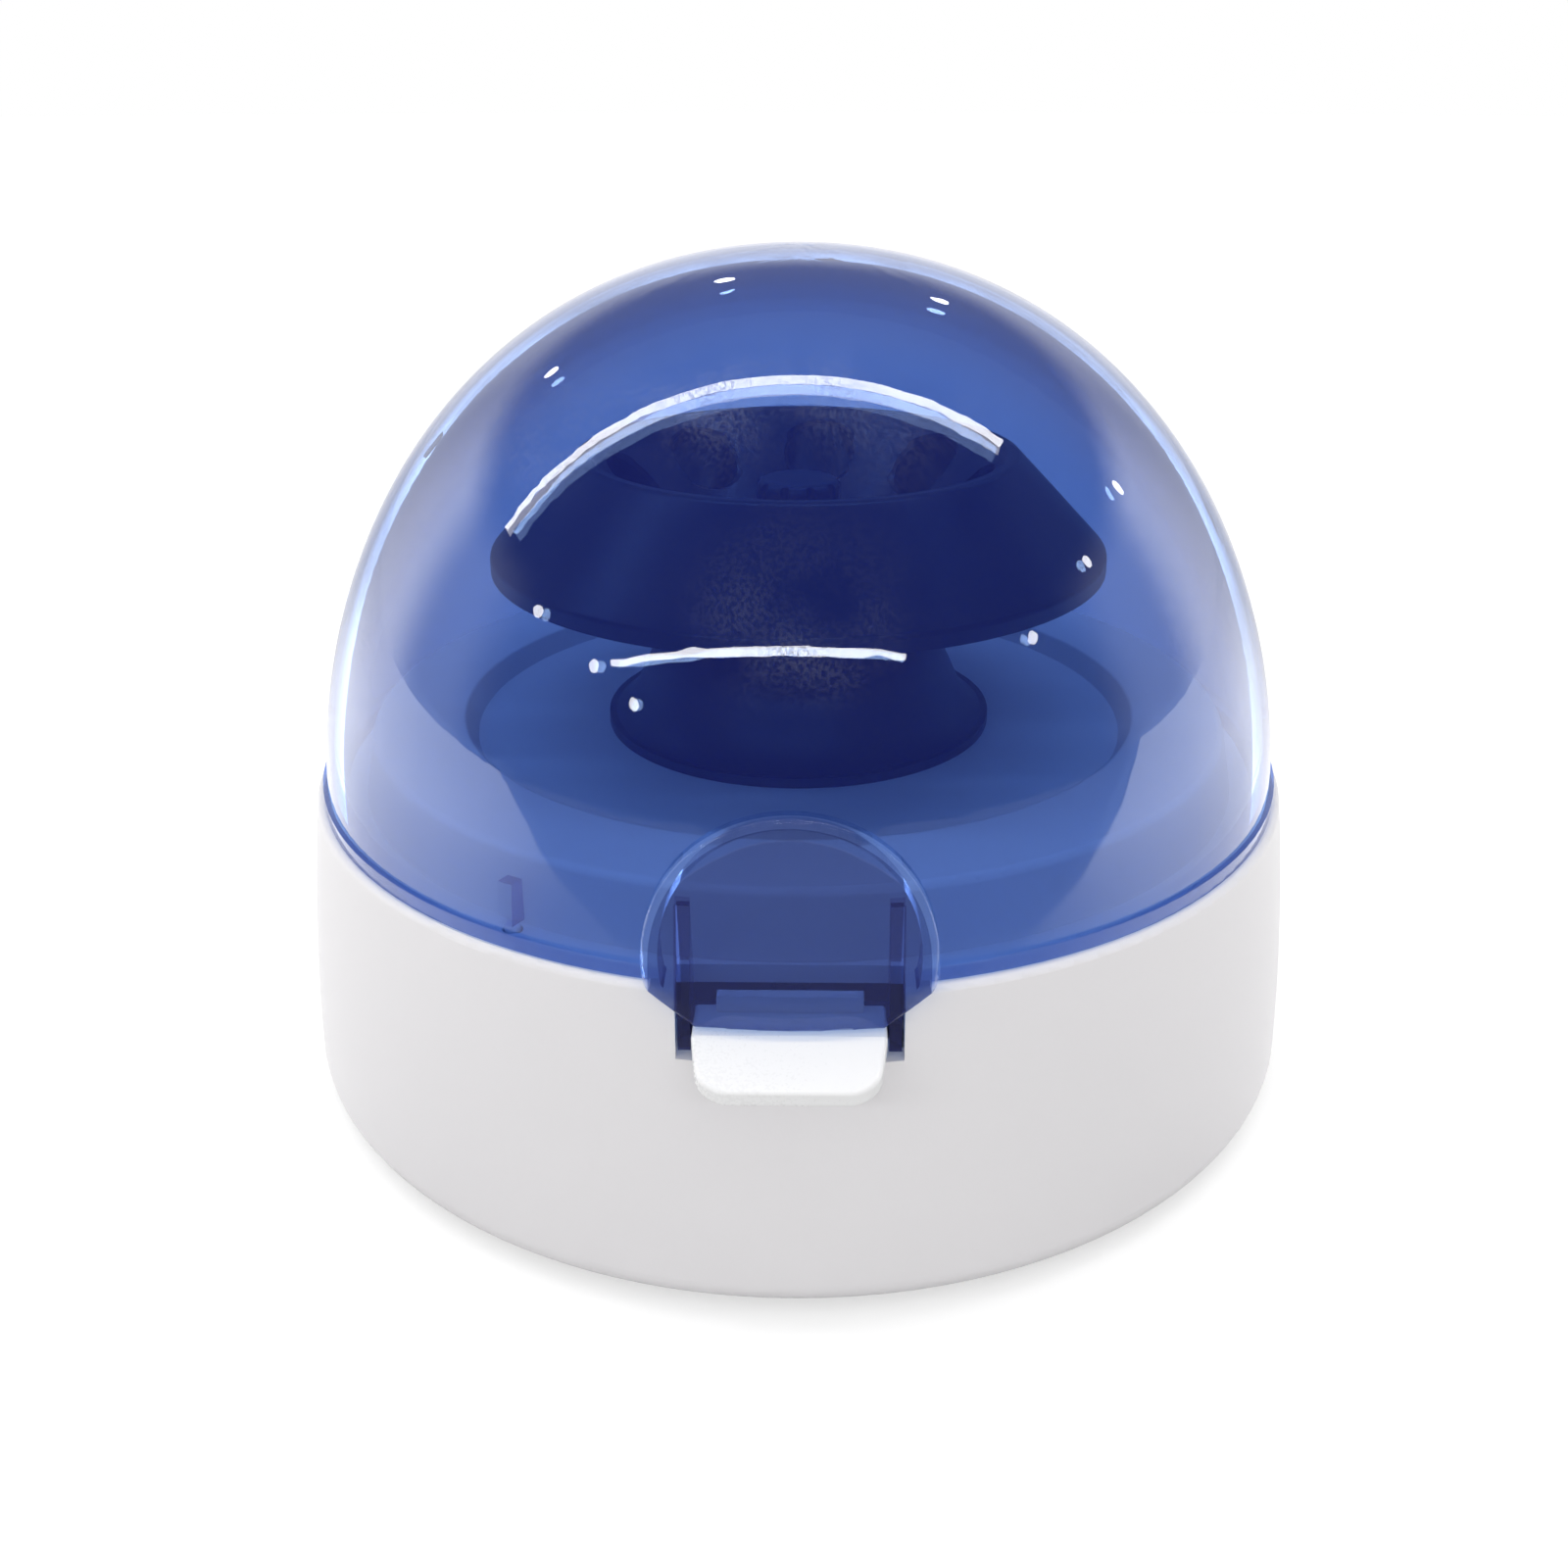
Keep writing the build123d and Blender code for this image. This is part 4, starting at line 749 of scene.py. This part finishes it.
@dataclass
class PressLatch:
    """The white latch lever, its spring and the lid switch's plunger."""

    nodes: dict[str, bpy.types.Object]
    spring_turns: int = 5
    spring_wire: float = 0.6 * MM
    turn_steps: int = 24
    wire_points: int = 16
    pressed_height: float = 0.87

    def dress(self) -> None:
        """Give the latch's pieces their finishes."""
        white = MouldedPlastic(
            "gloss_white_latch", Shade.LATCH_WHITE, roughness=0.28, grain_depth=0.002, tone=0.004
        )
        dress(self.nodes, ["latch_lever", "lid_switch_plunger"], white)

    def _coil(self, low: Vector, high: Vector) -> bmesh.types.BMesh:
        """Return the spring's wire, wound as one unbroken tube.

        Args:
            low: The low corner of the space that the spring fills.
            high: The high corner of that space.

        Returns:
            The mesh in its place, with both ends of the wire closed.
        """
        shape = bmesh.new()
        steps = self.spring_turns * self.turn_steps
        radius = (high.x - low.x - self.spring_wire) / 2
        climb = (high.z - low.z - self.spring_wire) / steps
        start = Matrix.Translation(Vector((radius, 0.0, low.z + self.spring_wire / 2)))
        across = start @ Matrix.Rotation(math.radians(90.0), 4, "X")
        bmesh.ops.create_circle(
            shape, segments=self.wire_points, radius=self.spring_wire / 2, matrix=across
        )
        bmesh.ops.spin(
            shape, geom=shape.verts[:] + shape.edges[:], cent=(0, 0, 0), axis=(0, 0, 1), dvec=(0, 0, climb),
            angle=self.spring_turns * math.tau, steps=steps, use_merge=False, use_duplicate=False,
        )
        ends = [edge for edge in shape.edges if edge.is_boundary]
        bmesh.ops.holes_fill(shape, edges=ends, sides=0)
        middle = (low + high) / 2
        bmesh.ops.translate(shape, vec=(middle.x, middle.y, 0.0), verts=shape.verts)
        return shape

    def build(self) -> None:
        """Wind the spring in place of the CAD one, and hang it on the base."""
        low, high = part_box("latch_spring")
        steel = WorkedMetal("spring_wire", Shade.STEEL, roughness=0.3, line=0.15)
        spring = new_piece("wound_latch_spring", self._coil(low, high), steel.make())
        for face in spring.data.polygons:
            face.use_smooth = True
        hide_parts("latch_spring")
        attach(spring, "base")
        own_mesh(spring)


@dataclass
class RotorAndDrive:
    """The rotor, the tower under it and the motor inside."""

    nodes: dict[str, bpy.types.Object]

    def dress(self) -> None:
        """Give the rotor's and the motor's pieces their finishes."""
        finishes = (
            (["rotor"], MouldedPlastic(
                "satin_black_rotor", Shade.ROTOR_BLACK, roughness=0.34, tone=0.06, patch=0.10, flow=12.0
            )),
            (["motor_tower", "rotor_nut", "motor_end_cap"], MouldedPlastic(
                "black_tower", Shade.TOWER_BLACK, roughness=0.4, tone=0.05, patch=0.08, flow=15.0
            )),
            (["drive_adapter", "motor_bracket"], WorkedMetal(
                "turned_aluminium", Shade.ALUMINIUM, roughness=0.25, along=(1.0, 1.0, 6.0)
            )),
            (["motor_can"], WorkedMetal("drawn_can", Shade.ZINC, roughness=0.28, along=(1.0, 1.0, 0.2))),
            (["motor_armature"], WorkedMetal(
                "lacquered_core", Shade.CORE_LACQUER, roughness=0.45, line=0.5
            )),
            (["motor_magnets"], MouldedPlastic("ferrite", Shade.FERRITE, roughness=0.6, tone=0.1)),
            (["motor_bushes"], WorkedMetal("sintered_bronze", Shade.BRONZE, roughness=0.4, line=0.2)),
            (["motor_terminals"], WorkedMetal("tinned_brass", Shade.TINNED_BRASS, roughness=0.3)),
            (["bracket_dampers"], SoftRubber("damper_rubber", Shade.RUBBER_GREY, bloom=0.3)),
        )
        for names, finish in finishes:
            dress(self.nodes, names, finish)


@dataclass
class RearPanel:
    """The inlet, the power switch and the marks on its rocker."""

    nodes: dict[str, bpy.types.Object]
    pivot: Place = (10.0 * MM, 68.4 * MM, 22.5 * MM)
    tilt: float = 8.0
    valley: float = 4.54 * MM
    crest: float = 5.30 * MM
    crest_height: float = 4.8 * MM
    mark_height: float = 2.5 * MM
    mark_proud: float = 0.12 * MM
    bar_half: tuple[float, float] = (0.26 * MM, 1.05 * MM)
    ring_radius: float = 1.0 * MM
    ring_half: float = 0.25 * MM
    ring_steps: int = 40
    mark_edge: float = 0.05 * MM
    edge_steps: int = 2

    def dress(self) -> None:
        """Give the panel's pieces and the lid switch their finishes."""
        black = MouldedPlastic(
            "switch_black", Shade.SWITCH_BLACK, roughness=0.3, grain_depth=0.003, tone=0.08
        )
        dress(self.nodes, ["dc_jack", "switch_body", "switch_rocker", "lid_switch_body"], black)
        dress(self.nodes, ["jack_nut"], WorkedMetal("jack_nut_metal", Shade.ZINC, roughness=0.3))

    def _on_half(self, side: int) -> Matrix:
        """Return the place of a mark on the rocker's upper or lower half.

        Args:
            side: 1 for the upper half, -1 for the lower one.

        Returns:
            A matrix whose Z axis points out of that half's face.
        """
        lean = math.atan2(self.crest - self.valley, self.crest_height)
        out = self.valley + (self.crest - self.valley) * self.mark_height / self.crest_height
        at = Matrix.Translation(Vector((0.0, out, side * self.mark_height)))
        face = Matrix.Rotation(-math.radians(90.0) - side * lean, 4, "X")
        rest = Matrix.Rotation(-math.radians(self.tilt), 4, "X")
        return Matrix.Translation(Vector(self.pivot)) @ rest @ at @ face

    def _bar(self) -> bmesh.types.BMesh:
        """Return the upright bar, with rounded edges, that marks the side that switches on.

        Returns:
            The mesh, lying flat at the origin.
        """
        shape = bmesh.new()
        bmesh.ops.create_cube(shape, size=2.0)
        size = Matrix.Diagonal((*self.bar_half, self.mark_proud, 1.0))
        bmesh.ops.transform(shape, matrix=size, verts=shape.verts)
        bmesh.ops.bevel(
            shape, geom=shape.edges[:], offset=self.mark_edge, offset_type="OFFSET",
            affect="EDGES", segments=self.edge_steps, profile=0.5, material=-1,
        )
        return shape

    def _ring(self) -> bmesh.types.BMesh:
        """Return the ring that marks the side that switches off.

        Returns:
            The mesh, lying flat at the origin.
        """
        shape = bmesh.new()
        corners = [
            (self.ring_radius + reach * self.ring_half, 0.0, up * self.mark_proud)
            for reach, up in ((-1, -1), (1, -1), (1, 1), (-1, 1))
        ]
        outline = [shape.verts.new(corner) for corner in corners]
        edges = [shape.edges.new((outline[i - 1], outline[i])) for i in range(len(outline))]
        bmesh.ops.spin(
            shape, geom=outline + edges, cent=(0, 0, 0), axis=(0, 0, 1), dvec=(0, 0, 0),
            angle=math.tau, steps=self.ring_steps, use_merge=True, use_duplicate=False,
        )
        return shape

    def build(self) -> None:
        """Put the raised marks on the rocker's two halves."""
        white = MouldedPlastic("mark_white", Shade.MARK_WHITE, roughness=0.4, grain_depth=0.002)
        material = white.make()
        for name, side, shape in (("mark_on", 1, self._bar()), ("mark_off", -1, self._ring())):
            bmesh.ops.transform(shape, matrix=self._on_half(side), verts=shape.verts)
            mark = new_piece(name, shape, material)
            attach(mark, "power_rocker")


@dataclass
class ControlBoard:
    """The control board and what is soldered on it."""

    nodes: dict[str, bpy.types.Object]

    def dress(self) -> None:
        """Give the board and its parts their finishes."""
        dress(self.nodes, ["control_board"], SolderMask("green_mask", Shade.MASK_GREEN))
        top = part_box("board_parts")[1].z
        dress(self.nodes, ["board_parts"], SleevedParts("sleeved_parts", Shade.SLEEVE_BLACK, top))


def hang(lamp: bpy.types.AreaLight, middle: Vector, aim: Vector, lights_matt: bool) -> None:
    """Hang a lamp in the scene.

    Args:
        lamp: The lamp, with its shape, size and power set.
        middle: Where it hangs.
        aim: The way it shines.
        lights_matt: Whether it lights matt surfaces too, or only shows in gloss.
    """
    stand = bpy.data.objects.new(lamp.name, lamp)
    stand.location = middle
    stand.rotation_euler = aim.to_track_quat("-Z", "Y").to_euler()
    stand.visible_diffuse = lights_matt
    bpy.context.scene.collection.objects.link(stand)


@dataclass(frozen=True)
class TubeLamp:
    """A tube lamp along X that shines towards the object, in metres and watts."""

    name: str
    middle: Place
    length: float
    width: float
    power: float
    lights_matt: bool
    aim_height: float = 0.08

    def build(self) -> None:
        """Make the lamp and hang it."""
        lamp = bpy.data.lights.new(self.name, "AREA")
        lamp.shape = "RECTANGLE"
        lamp.size = self.length
        lamp.size_y = self.width
        lamp.energy = self.power
        middle = Vector(self.middle)
        hang(lamp, middle, Vector((middle.x, 0.0, self.aim_height)) - middle, self.lights_matt)


@dataclass(frozen=True)
class RoundLamp:
    """A small round lamp, which the dome mirrors as a bright dot."""

    name: str
    turn: float
    rise: float
    reach: float = 2.0
    radius: float = 0.04
    power: float = 0.28

    def build(self) -> None:
        """Make the lamp and hang it."""
        lamp = bpy.data.lights.new(self.name, "AREA")
        lamp.shape = "DISK"
        lamp.size = 2.0 * self.radius
        lamp.energy = self.power
        around = Matrix.Rotation(math.radians(self.turn), 4, "Z")
        raised = Matrix.Rotation(math.radians(-self.rise), 4, "X")
        middle = around @ raised @ Vector((0.0, -self.reach, 0.0))
        hang(lamp, middle, -middle, False)


@dataclass(frozen=True)
class ViewPoint:
    """The camera, which looks at the object from the photograph's viewing angle."""

    focal_pixels: float = 1639.4
    axis_pixel_x: float = 814.8
    axis_pixel_y: float = 650.0
    sensor: float = 36.0
    pitch: float = 19.362
    turn: float = 0.8
    distance: float = 230.4 * MM
    height: float = 142.2 * MM
    nearest: float = 10.0 * MM

    def build(self) -> None:
        """Set the camera up and make it the scene's camera."""
        lens = bpy.data.cameras.new("camera")
        lens.sensor_width = self.sensor
        lens.lens = self.focal_pixels * self.sensor / IMAGE_SIDE
        lens.shift_x = (IMAGE_SIDE / 2 - self.axis_pixel_x) / IMAGE_SIDE
        lens.shift_y = (self.axis_pixel_y - IMAGE_SIDE / 2) / IMAGE_SIDE
        lens.clip_start = self.nearest
        camera = bpy.data.objects.new("camera", lens)
        turn = math.radians(self.turn)
        camera.location = (self.distance * math.sin(turn), -self.distance * math.cos(turn), self.height)
        camera.rotation_euler = (math.radians(90.0 - self.pitch), 0.0, turn)
        bpy.context.scene.collection.objects.link(camera)
        bpy.context.scene.camera = camera


@dataclass
class Studio:
    """The floor, the white room round it, the soft light and the camera."""

    floor_half: float = 6.0
    floor_points: int = 96
    stage_grey: float = 0.6
    floor_fill: float = 0.50
    far_fill: float = 0.50
    far_reach: Step = (0.8, 3.0)
    soft_light: float = 0.74
    room_glow: float = 0.10
    ceiling_glow: float = 0.25
    front_glow: float = 0.42
    floor_bounce: float = 0.50
    wall_bounce: float = 1.0
    side_glow: float = 2.4
    side_reach: Step = (0.60, 1.0)
    # Painted shadow on the floor as gloss shows it: its glow starts at this share next to the object and is
    # full past this reach.
    painted_shadow_level: float = 0.55
    painted_shadow_reach: Step = (0.10, 0.35)
    inner_dimming: float = 0.7
    wall_top: Step = (0.36, 0.52)
    wall_reach: Step = (0.15, 0.45)
    window_reach: Step = (-0.3, 0.0)
    window_share: float = 0.3
    ceiling_reach: Step = (0.15, 0.55)
    # Painted light: in gloss the floor glows only behind a line this far in front of the object.
    sheet_front: float = -0.12
    sheet_spread: float = 0.238
    sheet_turn: float = 0.148
    sheet_fade: float = 0.006
    tubes: tuple[TubeLamp, ...] = (
        TubeLamp("overhead_tube", (-0.49, 0.13, 1.1), length=2.65, width=0.055, power=8.0, lights_matt=True),
        TubeLamp("overhead_tray", (-0.49, 0.07, 1.1), length=2.65, width=0.06, power=2.4, lights_matt=False),
        TubeLamp("front_tube", (-0.37, -1.5, 1.03), length=2.38, width=0.055, power=8.0, lights_matt=True),
    )
    round_places: tuple[tuple[float, float], ...] = (
        (-169.0, 37.0), (160.0, 37.0), (-136.0, 35.0), (114.0, 27.0), (88.0, 29.0),
        (-70.0, 27.0), (62.0, 26.0), (-50.0, 24.0), (-38.0, 20.0),
    )

    def build(self) -> None:
        """Build the whole stage."""
        self._world()
        self._floor()
        for tube in self.tubes:
            tube.build()
        for index, (turn, rise) in enumerate(self.round_places):
            RoundLamp(f"round_lamp_{index + 1}", turn, rise).build()
        ViewPoint().build()

    def _side_level(self, across: Value, back: Value, bounce: float) -> Value:
        """Return how bright gloss mirrors the white room, which is brightest at its sides.

        Args:
            across: How far to the side the place or direction lies.
            back: How far to the back it lies.
            bounce: The level straight behind the object.

        Returns:
            The level, where 1 is white.
        """
        aside = (across.size() / span(across, back)).between(*self.side_reach)
        inside = across.recipe.ray(Ray.PASSED).between(0.0, 1.0)
        return (aside * self.side_glow + bounce) * (1.0 - inside * self.inner_dimming)

    def _world(self) -> None:
        """Make the world: white behind everything, soft light, and a room that gloss mirrors."""
        world = bpy.data.worlds.new("room")
        bpy.context.scene.world = world
        recipe = Recipe(world)
        white = recipe.ray(Ray.CAMERA).larger(recipe.ray(Ray.TRANSMISSION))
        mirrored = recipe.ray(Ray.GLOSSY) * (1.0 - white)
        soft = (1.0 - white) * (1.0 - mirrored)
        back = recipe.heading("Y")
        low = 1.0 - recipe.heading("Z").between(*self.wall_top)
        window = back.between(*self.window_reach) * self.window_share
        wall = back.between(*self.wall_reach) * (1.0 - self.window_share)
        level = self._side_level(recipe.heading("X"), back, self.wall_bounce)
        ceiling = (1.0 - low) * back.between(*self.ceiling_reach) * self.ceiling_glow
        room = low * (window + wall) * level + ceiling + self.room_glow
        strength = white + mirrored * room + soft * self.soft_light
        sockets = {"Color": WHITE, "Strength": strength}
        recipe.finish(recipe.node("ShaderNodeBackground", {}, sockets))

    def _floor(self) -> None:
        """Lay the pale floor: plain white to the eye, with the object's shadow on it."""
        recipe = Recipe.material("pale_floor")
        across = recipe.axis("X")
        back = recipe.axis("Y")
        far = span(across, back)
        seen = recipe.ray(Ray.CAMERA) * (far.between(*self.far_reach) * self.far_fill + self.floor_fill)
        matt = recipe.surface({
            "Base Color": (self.stage_grey, self.stage_grey, self.stage_grey),
            "Roughness": 1.0,
            "Specular IOR Level": 0.0,
            "Emission Color": recipe.tint(BLACK, WHITE, seen),
            "Emission Strength": 1.0,
        })
        through = recipe.ray(Ray.TRANSMISSION)
        mirrored = recipe.ray(Ray.GLOSSY) * (1.0 - through)
        # In gloss the floor glows as painted light: a sheet round and behind the object, brighter towards
        # the sides, with a painted shadow that dims it near the object.
        front = back + across.size() * self.sheet_spread - across * self.sheet_turn
        sheet = front.between(self.sheet_front - self.sheet_fade, self.sheet_front + self.sheet_fade)
        painted_sheet_and_shadow = sheet * (far.between(*self.painted_shadow_reach) * (1.0 - self.painted_shadow_level) + self.painted_shadow_level)
        bounced = painted_sheet_and_shadow * self._side_level(across, back, self.floor_bounce) + self.front_glow
        sockets = {"Color": WHITE, "Strength": mirrored * bounced + (1.0 - mirrored)}
        glow = recipe.node("ShaderNodeEmission", {}, sockets)
        shader = recipe.either(recipe.ray(Ray.GLOSSY).larger(through), matt, glow)
        shape = bmesh.new()
        bmesh.ops.create_circle(
            shape, cap_ends=True, segments=self.floor_points, radius=self.floor_half
        )
        new_piece("floor", shape, recipe.finish(shader))


def main() -> None:
    """Load the frame, dress every piece and set the stage."""
    logging.basicConfig(level=logging.INFO, format="%(message)s")
    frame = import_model()
    Studio().build()
    nodes = frame["nodes"]
    for group in (BaseShell, ClearLid, RotorAndDrive, ControlBoard):
        group(nodes).dress()
    for group in (PressLatch(nodes), RearPanel(nodes)):
        group.dress()
        group.build()
    bpy.context.scene.view_settings.view_transform = "Standard"


if __name__ == "__main__":
    main()
